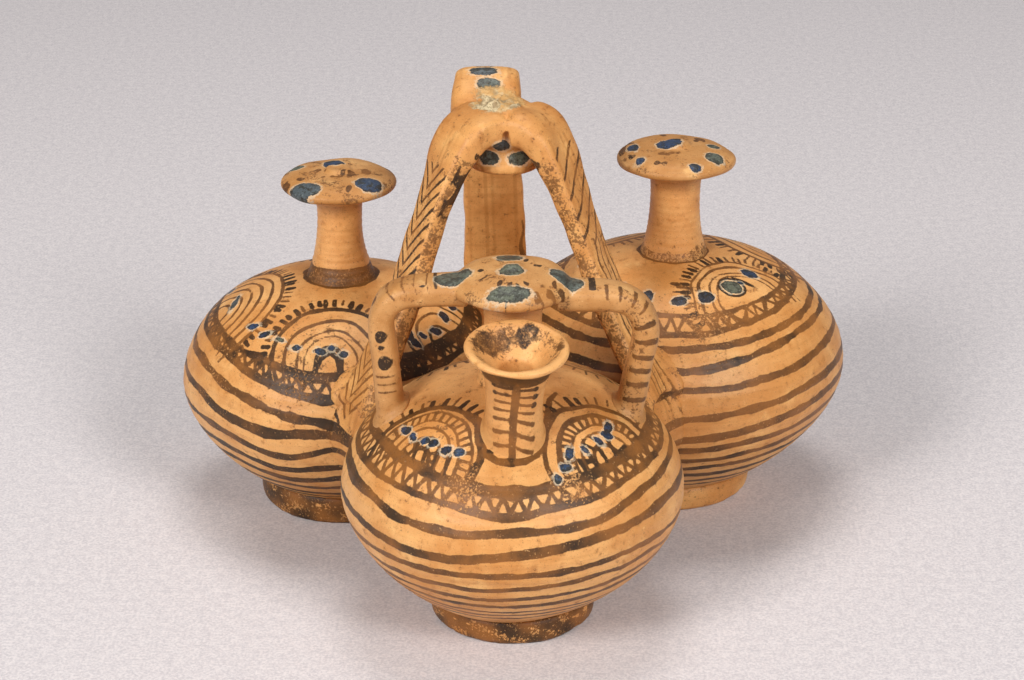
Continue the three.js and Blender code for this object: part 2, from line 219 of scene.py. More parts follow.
def applied(piece, kind, **settings):
    """A modifier, set and applied."""
    pick(piece)
    modifier = piece.modifiers.new(kind.title(), kind)
    for key, value in settings.items():
        setattr(modifier, key, value)
    bpy.ops.object.modifier_apply(modifier=modifier.name)


# %% [markdown]
# ## The unevenness of handwork
# No thrown pot is truly round. A few slow waves, laid over each other in many directions, push the
# skin in and out by a few tenths of a millimetre. The same waves serve again, at a finer scale, to
# make drawn lines tremble. They are seeded, so the pot is the same each time.

# %% Slow waves


def waves(points, length, seed, count=7):
    """A smooth field between about -1 and 1, whose swells are about that long."""
    random = np.random.default_rng(seed)
    total = np.zeros(points.shape[:-1])
    for _ in range(count):
        way = random.normal(size=points.shape[-1])
        way *= random.uniform(0.6, 1.5) / np.linalg.norm(way)
        total += np.sin(points @ way * (2 * np.pi / length) + random.uniform(0, 2 * np.pi))
    return total / math.sqrt(count / 2) / 1.6


def flat_waves(a, b, length, seed):
    """The same waves over two measures, such as the way round a piece and the way up it."""
    return waves(np.stack([a, b], 1), length, seed)


def smooth(share):
    share = np.clip(share, 0, 1)
    return share * share * (3 - 2 * share)


def patch(x, y, at, reach, core=1):
    """1 about a place on a map, and less and less towards its reach."""
    return smooth(core - np.hypot(x - at[0], y - at[1]) / reach)


def uneven(piece, amount, length, seed):
    """Pushes a skin in and out along its normals."""
    points = points_of(piece)
    move_points(piece, points + normals_of(piece) * (amount * waves(points, length, seed))[:, None])


# %% [markdown]
# ## Where the jars press on each other
# The soft jars were pushed together, so each one is flat where it meets its neighbour. The flat lies
# in the plane through the circle that the two round forms share. Points beyond it go back onto it.

# %% The pressed flats
pairs = [("front", "left"), ("front", "right"), ("left", "right")]
half_gap = 0.1  # between a skin and the plane, so that two skins never touch


def join_between(name, other):
    a, b = jars[name], jars[other]
    across = b["axis"] - a["axis"]
    distance = np.linalg.norm(across)
    across /= distance
    reach = (distance**2 + a["radius"] ** 2 - b["radius"] ** 2) / (2 * distance)
    half_width = math.sqrt(max(a["radius"] ** 2 - reach**2, 0))
    return a["axis"] + across * reach, across, half_width


def pressed(points, name):
    for pair in pairs:
        if name not in pair:
            continue
        other = pair[1] if pair[0] == name else pair[0]
        middle, across, _ = join_between(name, other)
        beyond = np.maximum((points[:, :2] - middle) @ across + half_gap, 0)
        points[:, :2] -= beyond[:, None] * across
    return points


# %% [markdown]
# ## Drawing with a brush, in numbers
# The ornament follows the pot's skin, so it is drawn in the skin's own measure: the angle round the
# axis, and the way down from the top. Seen from above these two make a flat map, on which a motif is
# drawn as on paper. Each brush stroke gives every point of the mesh a number, in millimetres: how far
# inside the stroke it lies, or, below nought, how far outside. The finest edge comes later, in the
# material, which frays that number with noise.

# %% The brush
FAR = -4.0  # the number of a point with no paint near it
row_step = 5  # between the seeds of two bands, one below the other


def closed(marks):
    """Marks round a pot, from -180 degrees on, with the first one again at 180 degrees."""
    return np.array([*marks, (180, *marks[0][1:])], float)


def through(marks, at):
    """A soft curve through marks, as a hand would draw it: straight runs, rounded at the marks."""
    offsets = (-6, -3, 0, 3, 6)
    return sum(np.interp(at + offset, marks[:, 0], marks[:, 1]) for offset in offsets) / len(offsets)


def mark_points(piece, key, values):
    """Gives each point of a mesh a number, which a material can read by its name."""
    layer = piece.data.attributes.new(key, "FLOAT", "POINT")
    layer.data.foreach_set("value", values.astype(np.float32))


class Ornament:
    """What is painted on one skin, as numbers on its points."""

    def __init__(self, count):
        self.paint = np.full(count, FAR)
        self.tone = np.full(count, 0.4)
        self.spot = np.full(count, FAR)
        self.tint = np.zeros(count)
        self.wear = np.full(count, 0.25)
        self.soot = np.full(count, 0.12)
        self.crust = np.zeros(count)

    def lay(self, inside, tone, where=slice(None)):
        """Brown paint. Where strokes cross, the deeper one gives the tone."""
        over = inside > self.paint[where]
        self.tone[where] = np.where(over, tone, self.tone[where])
        self.paint[where] = np.maximum(self.paint[where], inside)

    def lay_spot(self, inside, tint):
        """Blue-grey paint. Tint runs from black-blue to grey-green."""
        self.tint = np.where(inside > self.spot, tint, self.tint)
        self.spot = np.maximum(self.spot, inside)

    def line(self, u, v, path, widths, tone):
        """A stroke through points of a flat map, with a width at each."""
        path, widths = np.array(path, float), np.array(widths, float)
        reach = widths.max() / 2 - FAR
        low, high = path.min(0) - reach, path.max(0) + reach
        near = np.flatnonzero((u > low[0]) & (u < high[0]) & (v > low[1]) & (v < high[1]))
        here = np.stack([u[near], v[near]], 1)
        best = np.full(len(near), FAR)
        for a, b, wide_a, wide_b in zip(path, path[1:], widths, widths[1:]):
            step = b - a
            share = np.clip((here - a) @ step / max(step @ step, 1e-9), 0, 1)
            away = np.linalg.norm(here - a - share[:, None] * step, axis=1)
            best = np.maximum(best, (wide_a + (wide_b - wide_a) * share) / 2 - away)
        self.lay(best, tone, near)

    @staticmethod
    def oval(u, v, at, size, turn):
        """How far inside an oval each point lies. Its place, half sizes, and the turn of its length."""
        across, up = u - at[0], v - at[1]
        c, s = math.cos(math.radians(turn)), math.sin(math.radians(turn))
        a, b = (across * c + up * s) / size[0], (up * c - across * s) / size[1]
        return np.maximum((1 - np.hypot(a, b)) * min(size), FAR)

    def dab(self, u, v, at, size, turn, tone):
        """A short blob of brown paint."""
        self.lay(self.oval(u, v, at, size, turn), tone)

    def blue(self, u, v, spots):
        """Blue-grey spots with ragged edges: the place, half sizes, turn and tint of each."""
        for at, size, turn, tint in spots:
            ragged = 0.15 * flat_waves(u, v, 3.4, int(31 * at[0] + 17 * at[1]) % 9973)
            self.lay_spot(self.oval(u, v, at, size, turn) + ragged, tint)

    def band(self, angle, way, marks, radius, tone, seed):
        """A band round the pot through marks of angle, way down and width, uneven as a hand is."""
        marks = closed(marks)
        around = np.radians(angle) * radius

        def tremble(length, number):
            return flat_waves(around, way * 0.2, length, seed + number)

        middle = through(marks, angle) + 0.28 * tremble(23, 0) + 0.12 * tremble(6, 1)
        wide = np.interp(angle, marks[:, 0], marks[:, 2]) * (1.25 + 0.2 * tremble(13, 2))
        self.lay(wide / 2 - np.abs(way - middle), tone + 0.22 * tremble(17, 3))

    def rows(self, angle, way, jar, deeper):
        """The bands below a jar's zigzag, each laid on in one turn of the wheel."""
        for number, (tone, marks) in enumerate(jar["rows"]):
            seed = jar["rows_seed"] + row_step * number
            self.band(angle, way, marks, jar["radius"] - 2, tone + deeper, seed)

    def zigzag(self, angle, way, top, bottom, radius, pitch, seed, tone=0.45):
        """Two bands, and between them a zigzag in a somewhat paler line."""
        self.band(angle, way, top, radius, tone, seed)
        self.band(angle, way, bottom, radius, tone, seed + 4)
        top, bottom = closed(top), closed(bottom)
        upper = through(top, angle) + np.interp(angle, top[:, 0], top[:, 2]) / 2 - 0.3
        lower = through(bottom, angle) - np.interp(angle, bottom[:, 0], bottom[:, 2]) / 2 + 0.3
        around = np.radians(angle) * radius
        phase = around / pitch + 0.12 * flat_waves(around, 0 * around, 11, seed)
        climb = np.abs((phase % 1) * 2 - 1)
        gap = np.maximum(lower - upper, 0.1)
        line = 1.25 / 2 - np.abs(way - upper - climb * gap) / np.hypot(1, 2 * gap / pitch)
        self.lay(np.minimum(line, np.minimum(way - upper, lower - way) + 1), tone - 0.08)

    def onto(self, piece):
        for key, values in vars(self).items():
            mark_points(piece, key, values)


# %% [markdown]
# ## The shoulder motifs
# Each shoulder carries sets of half rings that stand on the zigzag band like setting suns. Some rings
# are joined by short bars, as a ladder is, and a fringe of short dashes runs round the outermost ring.
# One function draws them all: its half rings are wide at the foot, with straight sides at the bottom.

# %% Motif


def motif(ornament, x, y, centre, rings, fringe, seed, depth=2.5, ladders=()):
    """Half rings about a centre on the map. Up is towards the neck. Their feet run down by the depth.

    A ring has a radius, a width and a tone. A ladder has an inner and an outer radius, and the number,
    width and tone of its bars. A fringe has a radius, the length and number of its dashes, the share
    of dark ones, and the angles that it runs from and to.
    """
    random = np.random.default_rng(seed)
    centre = np.array(centre, float)
    out = centre / np.linalg.norm(centre)
    right, down = x - centre[0], y - centre[1]
    across, up = right * out[1] - down * out[0], -(right * out[0] + down * out[1])
    radius = np.where(up > 0, np.hypot(across, up), np.abs(across)) + 0.45 * flat_waves(across, up, 14, seed)
    turn = np.degrees(np.arctan2(np.maximum(up, 0), across))
    foot = up + depth
    for ring, width, tone in rings:
        wide = width * (1 + 0.2 * flat_waves(across, up, 9, seed + int(ring)))
        ornament.lay(np.minimum(wide / 2 - np.abs(radius - ring), foot), tone)
    for inner, outer, count, width, tone in ladders:
        phase = turn / 180 * count + 0.18 * flat_waves(across, up, 12, seed + 3)
        away = np.abs(phase % 1 - 0.5) * np.pi / count * radius
        inside = np.minimum(width / 2 - away, np.minimum(radius - inner, outer - radius) + 0.3)
        ornament.lay(np.minimum(inside, foot), tone)
    start, length, count, dark, first, last = fringe
    for number in range(count):
        angle = math.radians(first + (last - first) * (number + 0.5 + random.uniform(-0.2, 0.2)) / count)
        way = np.array([math.cos(angle), math.sin(angle)])
        is_dark = random.random() < dark
        near, far = start + random.uniform(-0.3, 0.5), start + length * random.uniform(0.75, 1.1)
        far -= (length - 2) * 0.4 * is_dark
        wide = random.uniform(0.8, 1.2) + 0.8 * is_dark
        ornament.line(across, up, [way * near, way * far], [wide, wide * 0.8], 0.95 if is_dark else 0.45)


# %% [markdown]
# ## Throwing the three jars
# The skin of each body is spun as finely as its ornament needs, about six tenths of a millimetre. The
# potter's fingers left faint rings, most of all below the belt, and the wheel was never quite true.

# %% Bodies


def body_piece(name):
    jar = jars[name]
    radius, height, way = outline(jar)
    path = [(0, recess), (3, recess), (6, recess)] + list(zip(radius, height))[::-1]
    piece = spun(f"{name}_jar_skin", path, facet * jar["radius"] / 51, jar["radius"], 2, 8)
    points = points_of(piece)
    angle = np.degrees(np.arctan2(points[:, 0], -points[:, 1]))
    along = np.interp(-points[:, 2], -height, way)
    along = np.where(points[:, 2] < recess + 0.05, way[-1] + 1, along)
    rings = np.sin(along * 1.9 + 1.5 * waves(along[:, None], 19, 3)) * (0.03 + 0.05 * smooth(along / 90))
    points[:, :2] *= (1 + rings / jar["radius"])[:, None]
    points[:, :2] += jar["axis"]
    move_points(piece, points)
    uneven(piece, 0.35, 46, len(name))
    move_points(piece, pressed(points_of(piece), name))
    return piece, angle, along


bodies = {name: body_piece(name) for name in jars}
for name, (piece, angle, along) in bodies.items():
    print(piece.name, len(piece.data.polygons), "faces")

# %% [markdown]
# ## Painting the front jar
# Two motifs flank the spout and a broad U hugs the spout's base. Under them runs the zigzag between
# two bands, and then the wavy bands, each laid on in one turn of the wheel and closer towards the foot.

# %% Front jar's ornament


def fresh(name):
    """A body with nothing painted on it, and the flat map of its skin."""
    piece, angle, along = bodies[name]
    turn = np.radians(angle)
    return piece, angle, along, Ornament(len(angle)), along * np.sin(turn), along * np.cos(turn)


jars["front"]["rows"] = [
    (0.5, [(-180, 56, 2.6), (-84, 55.6, 3.6), (-64, 56.4, 3), (-55, 55.8, 2), (-44, 58.6, 1.9),
           (-28, 59.4, 1.9), (0, 58, 2.2), (30, 57, 1.9), (48, 54.2, 1.9), (75, 51.8, 1.8)]),
    (0.5, [(-180, 63, 2), (-75, 64.4, 2), (-60, 64.8, 2), (-46, 67, 1.9), (-28, 66.9, 2.2), (-14, 66, 2.2),
           (-5, 64.2, 2.4), (6, 63.8, 2.4), (24, 62, 2.4), (45, 61, 2.2), (62, 59.6, 2.2)]),
    (0.4, [(-180, 70, 1.7), (-50, 72.2, 1.7), (-28, 71.8, 1.8), (0, 71.2, 1.9), (16, 70.4, 1.8),
           (34, 69.2, 1.6), (60, 68.4, 1.6)]),
    (0.4, [(-180, 76, 1.6), (-45, 77.8, 1.7), (0, 76.9, 1.7), (20, 75.4, 1.7), (50, 73.6, 1.6)]),
    (0.4, [(-180, 81, 1.5), (-40, 82.6, 1.4), (0, 82, 1.7), (30, 80.4, 1.5), (60, 79, 1.4)]),
    (0.5, [(-180, 86, 1.5), (-40, 87, 1.4), (0, 86.6, 1.6), (24, 86, 2.2), (44, 84, 1.7)]),
    (0.3, [(-180, 91, 1.1), (0, 91, 1.2)]),
    (0.3, [(-180, 94.6, 1), (0, 94.2, 1.2)]),
    (0.4, [(-180, 98.4, 1.3), (0, 98, 1.3)]),
]


def paint_front():
    piece, angle, along, o, x, y = fresh("front")
    motif(o, x, y, (-28.5, 31), [(20, 2.2, 0.6), (17.6, 0.9, 0.4), (13.6, 0.9, 0.4), (10.6, 1, 0.3),
                                 (7.4, 1, 0.5), (4.2, 1.3, 0.7)], (21, 3.6, 15, 0.5, 32, 168), 11,
          ladders=[(13.6, 17.6, 19, 1.1, 0.45), (4.2, 7.4, 6, 1.1, 0.7)])
    motif(o, x, y, (30, 29.4), [(20.6, 1.8, 0.5), (16.2, 1.8, 0.5), (12, 0.9, 0.45), (9.2, 0.9, 0.4),
                                (5, 1.4, 0.7)], (21.4, 4, 17, 0.35, 12, 150), 12,
          ladders=[(12, 16, 19, 1.2, 0.5), (5, 9, 5, 1.4, 0.85)])
    for centre, seed in [((-20, -37), 13), ((22, -36), 14)]:
        motif(o, x, y, centre, [(19, 1.5, 0.4), (15, 1.2, 0.4), (11, 1.2, 0.4), (7, 1.2, 0.4)],
              (20.4, 4, 17, 0.4, 5, 175), seed)
    for starts, (right, down) in [([(-27.4, 25.4), (-24.6, 28), (-21.4, 30.6), (-18, 33.4)], (-2.4, 5.4)),
                                  ([(20.4, 33.6), (23.4, 30.6), (26.6, 27.6), (29.4, 24)], (3.2, 4))]:
        for start in starts:
            o.line(x, y, [start, (start[0] + right, start[1] + down)], [1.7, 1.3], 0.85)
    o.line(x, y, [(-9.4, 22), (-9.2, 30), (-7.4, 34.6), (-3.8, 37.2), (0, 37.6), (4, 37),
                  (7.4, 34.4), (9.6, 29), (10.3, 20), (10.8, 12), (12.6, 8)],
           [2.2, 2.6, 2.2, 2.3, 2.8, 2.6, 2.4, 2.2, 2.0, 1.8, 1.4], 0.4)
    o.line(x, y, [(-12.6, 41), (-10.6, 38.6), (-8.8, 36.6)], [2.6, 3, 2.2], 0.85)
    o.dab(x, y, (0.2, 37.4), (1.9, 1.7), 0, 0.8)
    o.blue(x, y, [((-31.4, 17.6), (2.6, 1.3), 60, 0.25), ((-29, 21.8), (1.9, 1.1), 65, 0.25),
                  ((-25.2, 25.4), (1.7, 1.3), 40, 0.3), ((-22.7, 27.4), (1.6, 1.3), 30, 0.15),
                  ((-18.9, 30.9), (1.8, 1.3), 10, 0.1), ((-15.2, 32.7), (1.7, 1.5), 20, 0.45),
                  ((28.4, 17.6), (1.2, 2.6), 10, 0.2), ((28.2, 20.8), (2.1, 1.6), 0, 0.15),
                  ((25.8, 24.2), (1.9, 1.1), 35, 0.2), ((21.8, 29.2), (1.6, 1.1), 20, 0.5),
                  ((17.2, 32.2), (1.3, 2.4), 10, 0.35), ((16, 37.1), (1.9, 1.3), -20, 0.4),
                  ((14.1, 41.1), (1.2, 1.5), 0, 0.5)])
    top = [(-180, 43.5, 2.6), (-90, 44, 2.8), (-60, 42.6, 2.4), (-30, 44, 2.4), (-12, 46, 3), (0, 47, 3.4),
           (14, 46, 3), (30, 44.6, 2.8), (45, 43.6, 2.6), (70, 42.4, 2.4), (90, 42.4, 2.4)]
    bottom = [(-180, 49.6, 2), (-90, 50.2, 2.2), (-60, 50.2, 1.6), (-30, 50.6, 1.4), (-15, 52.4, 1.8),
              (0, 53.5, 2), (15, 52, 1.9), (30, 50.4, 1.9), (60, 48, 1.7), (90, 47.4, 1.7)]
    o.zigzag(angle, along, top, bottom, 44, 4.6, 21)
    o.rows(angle, along, jars["front"], 0)
    o.wear += 0.4 * patch(x, y, (-14, 44), 12) + 0.45 * patch(x, y, (18, 42), 10)
    o.soot += 0.16 * patch(x, y, (-24, 27), 22, 1.4) + 0.12 * patch(x, y, (26, 26), 22, 1.4)
    o.onto(piece)


paint_front()

# %% [markdown]
# ## Painting the left jar
# The motif in view has four plain half rings round a small dark arch, and a fringe of dashes about it.
# A second motif stands at the far left, and a row of blue spots runs round the whole shoulder.

# %% Left jar's ornament


jars["left"]["rows"] = [
    (0.5, [(-180, 55, 2), (-90, 53, 2.1), (-60, 54, 2.2), (-45, 56, 2.4), (-30, 58.8, 2.2), (-14, 61.2, 2.4),
           (-4, 61.6, 2.6), (8, 66, 2), (60, 58, 2)]),
    (0.55, [(-180, 63, 2.2), (-75, 61.4, 1.8), (-60, 62, 2), (-45, 65.4, 2.8), (-30, 66.8, 2.8),
            (-16, 67.2, 2.6), (-4, 65.8, 2.4), (60, 66, 2)]),
    (0.55, [(-180, 72, 2), (-60, 71, 2), (-44, 71.6, 2.2), (-30, 74.2, 2.4), (-18, 75.6, 2.2),
            (-9, 74, 2.2), (0, 70.6, 1.8), (60, 73, 2)]),
    (0.6, [(-180, 80, 2), (-45, 79, 2.2), (-30, 81.4, 2.4), (-15, 82, 2.4), (0, 78.6, 2.4), (60, 80, 2)]),
    (0.6, [(-180, 87, 2), (-45, 85.4, 2.4), (-28, 88, 2.8), (-14, 88, 2.6), (0, 85.4, 2.6)]),
    (0.6, [(-180, 93, 1.8), (-30, 94, 2.4), (0, 92.4, 2.2)]),
    (0.55, [(-180, 99, 1.8), (-20, 99.6, 2)]),
    (0.5, [(-180, 104, 1.6), (0, 104, 1.6)]),
]


def paint_left():
    piece, angle, along, o, x, y = fresh("left")
    motif(o, x, y, (-1, 43), [(20.4, 1.9, 0.75), (15.2, 1.3, 0.5), (11, 0.8, 0.35), (8.6, 0.7, 0.35),
                              (4.4, 1.5, 0.9)], (22.2, 2.6, 27, 0.8, 5, 175), 31, 6.5)
    motif(o, x, y, (-41.4, 7.3), [(23.6, 1.2, 0.35), (20, 1.1, 0.35), (16.4, 1.1, 0.35), (12.8, 1.1, 0.35),
                                  (9, 1.1, 0.35), (5, 1.1, 0.4)], (24.9, 2.4, 32, 0.75, 5, 175), 32, 4)
    motif(o, x, y, (36, 24), [(19, 1.6, 0.6), (14.6, 1.2, 0.5), (10.4, 1, 0.4), (5, 1.4, 0.7)],
          (21.4, 3.4, 17, 0.7, 5, 175), 33, 4)
    motif(o, x, y, (-8, -42), [(20, 1.6, 0.5), (16, 1.2, 0.4), (12, 1, 0.4), (8, 1, 0.4), (4.4, 1.2, 0.5)],
          (22, 3.4, 19, 0.6, 5, 175), 34, 4)
    o.blue(x, y, [((-34.6, 6), (1.3, 4), 18, 0.6), ((-26.9, 24.2), (2, 1.4), 10, 0.3),
                  ((-23, 29.6), (2.1, 1.2), 0, 0.15), ((-17.6, 33.2), (1.5, 0.8), 30, 0.9),
                  ((-12, 37.4), (1.5, 1.1), 10, 0.35), ((-4.4, 39.6), (2.2, 1.2), 15, 0.2),
                  ((-0.6, 38.4), (1.4, 1.1), -30, 0.2), ((3.4, 40.6), (1.6, 1.1), 0, 0.15),
                  ((23.4, 29), (2, 2.2), 0, 0.05), ((26.3, 31.2), (2.1, 1.7), 20, 0.05),
                  ((28.4, 27), (1.5, 1.2), 0, 0.1), ((32.4, 22.6), (2.2, 1.6), -30, 0.05),
                  ((34.6, 13.6), (1.9, 2.6), -20, 0.05), ((36.8, 5.6), (1.6, 2.2), 10, 0.05),
                  ((37, -6), (1.6, 2.2), 0, 0.1), ((-38, -10), (1.6, 2.4), 0, 0.3),
                  ((12, -37), (2.2, 1.6), 0, 0.2), ((-8, -39), (2.4, 1.6), 0, 0.2),
                  ((-26, -29), (2, 1.6), 30, 0.2)])
    top = [(-180, 43, 2), (-90, 42.4, 1.8), (-60, 43.4, 1.8), (-30, 45.4, 2), (-15, 47.6, 2.6),
           (-2, 49.2, 2.6), (20, 46, 3), (45, 44.4, 3.4), (80, 43.4, 3)]
    bottom = [(-180, 48, 1.6), (-90, 46.8, 1.6), (-60, 47, 1.7), (-45, 48.4, 1.8), (-30, 50.8, 2.2),
              (-15, 53.8, 2.6), (-4, 55.6, 2.8), (30, 50, 2), (80, 48, 1.6)]
    o.zigzag(angle, along, top, bottom, 46, 4.4, 41, 0.75)
    o.rows(angle, along, jars["left"], 0.1)
    o.line(x, y, [(-5.6, 46.4), (-4, 42.4), (-1, 40), (1.4, 42), (2.4, 46.4)], [1.3, 1.6, 2, 1.8, 1.4], 0.95)
    o.lay(12.2 + 0.28 * flat_waves(angle / 6, along, 5, 29) - along, 0.7)
    o.wear += 0.25 * patch(x, y, (-10, 48), 16) + 0.2 * patch(x, y, (-44, 34), 18)
    o.soot += 0.2 * patch(x, y, (-10, 44), 22, 1.4)
    o.onto(piece)


paint_left()

# %% [markdown]
# ## Painting the right jar
# Its motif is at the right, with thin half rings. Four blue-black spots cross the shoulder, with a pale
# one in a dark ring among them, and two dabs of brown stand above the middle one.

# %% Right jar's ornament


jars["right"]["rows"] = [
    (0.5, [(-180, 49, 2), (-10, 49, 2), (15, 48.6, 1.9), (35, 47.4, 1.9), (75, 46.6, 1.8)]),
    (0.55, [(-180, 55, 2), (-20, 56.6, 2.2), (0, 56, 2.3), (15, 55, 2.2), (32, 52.4, 2), (50, 51, 1.8),
            (80, 51, 1.6)]),
    (0.45, [(-180, 61, 2), (-10, 61.8, 1.6), (15, 61.6, 1.6), (30, 61, 2), (60, 59, 2), (85, 58.4, 1.8)]),
    (0.35, [(-180, 69, 2.2), (-10, 71.6, 2), (10, 70.6, 1.8), (30, 68.6, 2.2), (60, 66.4, 2)]),
    (0.35, [(-180, 76, 2.2), (-10, 79, 2.4), (8, 78, 2.6), (30, 75.4, 2.4), (60, 72, 2)]),
    (0.35, [(-180, 82, 2), (-10, 84, 2), (30, 81.4, 2.2), (60, 78.4, 2)]),
    (0.4, [(-180, 88, 2), (-10, 89, 1.8), (30, 87.4, 2), (60, 84.4, 2)]),
    (0.4, [(-180, 94, 2), (-10, 94.4, 2), (40, 92, 2)]),
    (0.5, [(-180, 99.4, 1.8), (0, 99.4, 2.2), (50, 98, 1.8)]),
    (0.45, [(-180, 105, 1.8), (0, 105, 1.8)]),
    (0.45, [(-180, 110, 1.6), (0, 110, 1.6)]),
]


def paint_right():
    piece, angle, along, o, x, y = fresh("right")
    motif(o, x, y, (24.4, 25.8), [(20, 0.8, 0.3), (17.4, 1.2, 0.35), (13.8, 0.8, 0.3), (11.6, 0.7, 0.3)],
          (21, 3.2, 31, 0.25, 2, 178), 51, 4)
    for centre, seed in [((-22, -32), 53), ((32, -22), 54)]:
        motif(o, x, y, centre, [(20, 1.6, 0.5), (16, 1.2, 0.4), (12, 1, 0.4), (8, 1, 0.4)],
              (21.4, 3.4, 25, 0.4, 5, 175), seed, 4)
    o.dab(x, y, (-0.4, 23.1), (1.9, 0.9), 8, 0.95)
    o.dab(x, y, (0, 27), (1.5, 0.5), 0, 0.95)
    pale = (17.6, 21.6)
    o.lay(0.55 - np.abs(np.hypot(x - pale[0], y - pale[1]) - 4.2), 0.95)
    o.dab(x, y, (21.4, 17.6), (4, 1), 15, 0.9)
    o.blue(x, y, [((-9.3, 28.6), (1.9, 2.8), 20, 0), ((0.5, 31.1), (2.6, 2), -10, 0.05),
                  ((9, 28.5), (2.8, 2.5), -25, 0), (pale, (3.4, 3.2), 0, 1), ((20.6, 18.4), (1, 0.8), 0, 0.3),
                  ((23.7, 11.5), (3, 2.3), 15, 0.2), ((-18, 22), (2.2, 2), 0, 0.1),
                  ((-26, 12), (2, 2.2), 0, 0.1), ((-29, 0), (2, 2.4), 0, 0.1),
                  ((20, -22), (2.4, 2.2), 0, 0.1), ((4, -30), (2.6, 2), 0, 0.1),
                  ((-16, -26), (2.4, 2), 0, 0.1)])
    top = [(-180, 37, 1.6), (-12, 37.2, 1.5), (15, 37, 1.4), (45, 36.2, 1.2), (75, 36, 1.2)]
    bottom = [(-180, 43, 1.8), (-10, 44, 2), (10, 43.8, 1.8), (25, 42.6, 1.7), (45, 41.4, 1.6), (75, 40, 1.5)]
    o.zigzag(angle, along, top, bottom, 40, 5.4, 71)
    o.rows(angle, along, jars["right"], 0.08)
    o.lay(11.6 + 0.45 * flat_waves(angle / 6, along, 5, 30) - along, 0.45)
    o.wear += 0.35 * patch(x, y, (8, 38), 18)
    o.soot += 0.2 * patch(x, y, (6, 38), 20, 1.3)
    o.onto(piece)


paint_right()

# %% [markdown]
# ## Foot rings
# A foot is a low band of clay with rubbed edges. It is washed brown all round, and its edge is chipped
# where the pot has been set down for centuries: the paint is worn through there.

# %% Foot rings


def foot_piece(name):
    jar = jars[name]
    outer, inner, flare = jar["foot"], jar["bore"], jar["flare"]
    share = 1 - (1 - ((outer - 0.6) / jar["radius"]) ** belt_power) ** (1 / belt_power)
    height = jar["belt"] * share + 0.4
    path = [(inner, 0.5), (inner + 0.5, 0), (outer - 1.1, 0), (outer - 0.3, 0.3), (outer, 1.1),
            (outer + flare, height * 0.62), (outer + flare - 0.1, height - 0.9),
            (outer + flare - 0.9, height), (outer - 2.5, height + 0.4), (inner, height - 1.4), (inner, 0.5)]
    piece = spun(f"{name}_foot", path, 0.55, outer)
    points = points_of(piece)
    angle = np.arctan2(points[:, 0], -points[:, 1])
    chips = flat_waves(angle * outer, points[:, 2] * 2, 7, 81) > 0.75
    edge = smooth((1.6 - points[:, 2]) / 1.6) * (points[:, 0] ** 2 + points[:, 1] ** 2 > (outer - 1.5) ** 2)
    points[:, :2] *= (1 - 0.5 * chips * edge / outer)[:, None]
    points[:, :2] += jar["axis"]
    move_points(piece, points)
    uneven(piece, 0.16, 15, 7 + len(name))
    points = points_of(piece)
    points[:, 2] = np.maximum(points[:, 2], 0)
    move_points(piece, points)
    o = Ornament(len(points))
    washed = {"front": 1.7, "left": 1.6, "right": -1.6}[name]
    field = 0.6 * waves(points, 13, 91) + washed
    rubbed = 0.7 - 1.5 * np.abs(points[:, 2] - height * 0.7) + 1.5 * waves(points, 3.4, 93)
    worn = np.minimum(np.minimum(field * 1.6, 1.5 - rubbed), 0.5)
    o.lay(worn, 0.4 + 0.3 * waves(points * (1, 1, 3), 14, 92))
    o.wear[:] = 0.35 + 0.3 * smooth(waves(points * (1, 1, 4), 9, 94))
    o.soot[:] = 0.22
    o.onto(piece)
    return piece


feet = {name: foot_piece(name) for name in jars}

# %% [markdown]
# ## Necks and discs
# The necks were drawn up from the shoulders, so they spring from them in a soft curve, and a ring of
# dark paint covers that seam. Each disc is a little mushroom: flat below, round at its rim, and low
# domed on top with a small boss. Its spots lie about the boss.

# %% Necks


def dome_at(jar, radius):
    return jar["belt"] + jar["rise"] * np.sqrt(1 - np.minimum(radius / jar["radius"], 0.999) ** 2)


def neck_piece(name):
    jar = jars[name]
    base, waist, top, length = jar["neck"]
    seat = jar["belt"] + jar["rise"]
    share = np.linspace(0, 1, 60)
    radius = waist + (1 - share) ** 3.2 * (base - waist) + share**4 * (top - waist)
    swept = np.maximum(1 - share / 0.14, 0)
    radius += 0.5 * swept**2 + 1.8 * smooth((share - 0.9) / 0.1) ** 2
    height = seat + (length + 0.8) * share + swept * (dome_at(jar, base + 0.9) - seat - 0.1)
    foot = [(0, dome_at(jar, base) - 2), (base + 0.6, dome_at(jar, base + 0.9) - 1)]
    path = foot + list(zip(radius, height)) + [(0, seat + length + 0.8)]
    piece = spun(f"{name}_neck_skin", path, 0.5, base)
    points = points_of(piece)
    angle = np.degrees(np.arctan2(points[:, 0], -points[:, 1]))
    up = points[:, 2] - seat
    ridges = 0.05 * np.sin(up * 3.1 + waves(up[:, None], 9, 5))
    points[:, :2] *= (1 + ridges / waist)[:, None]
    points[:, :2] += jar["axis"]
    move_points(piece, points)
    uneven(piece, 0.16, 18, 3 * len(name))
    o = Ornament(len(points))
    ragged = flat_waves(angle * waist / 57, up * 0.3, 7, 15)
    deep = {"front": -9, "left": 4, "right": 1.6}[name]
    o.lay(deep + 0.5 * ragged - up, 0.7 if name == "left" else 0.4)
    o.wear[:] = (0.55 if name == "left" else 0.8) - 0.3 * smooth(up / 8)
    o.soot[:] = 0.1 + 0.28 * smooth(1 - up / 8)
    o.onto(piece)
    return piece


necks = {name: neck_piece(name) for name in jars}

# %% Discs


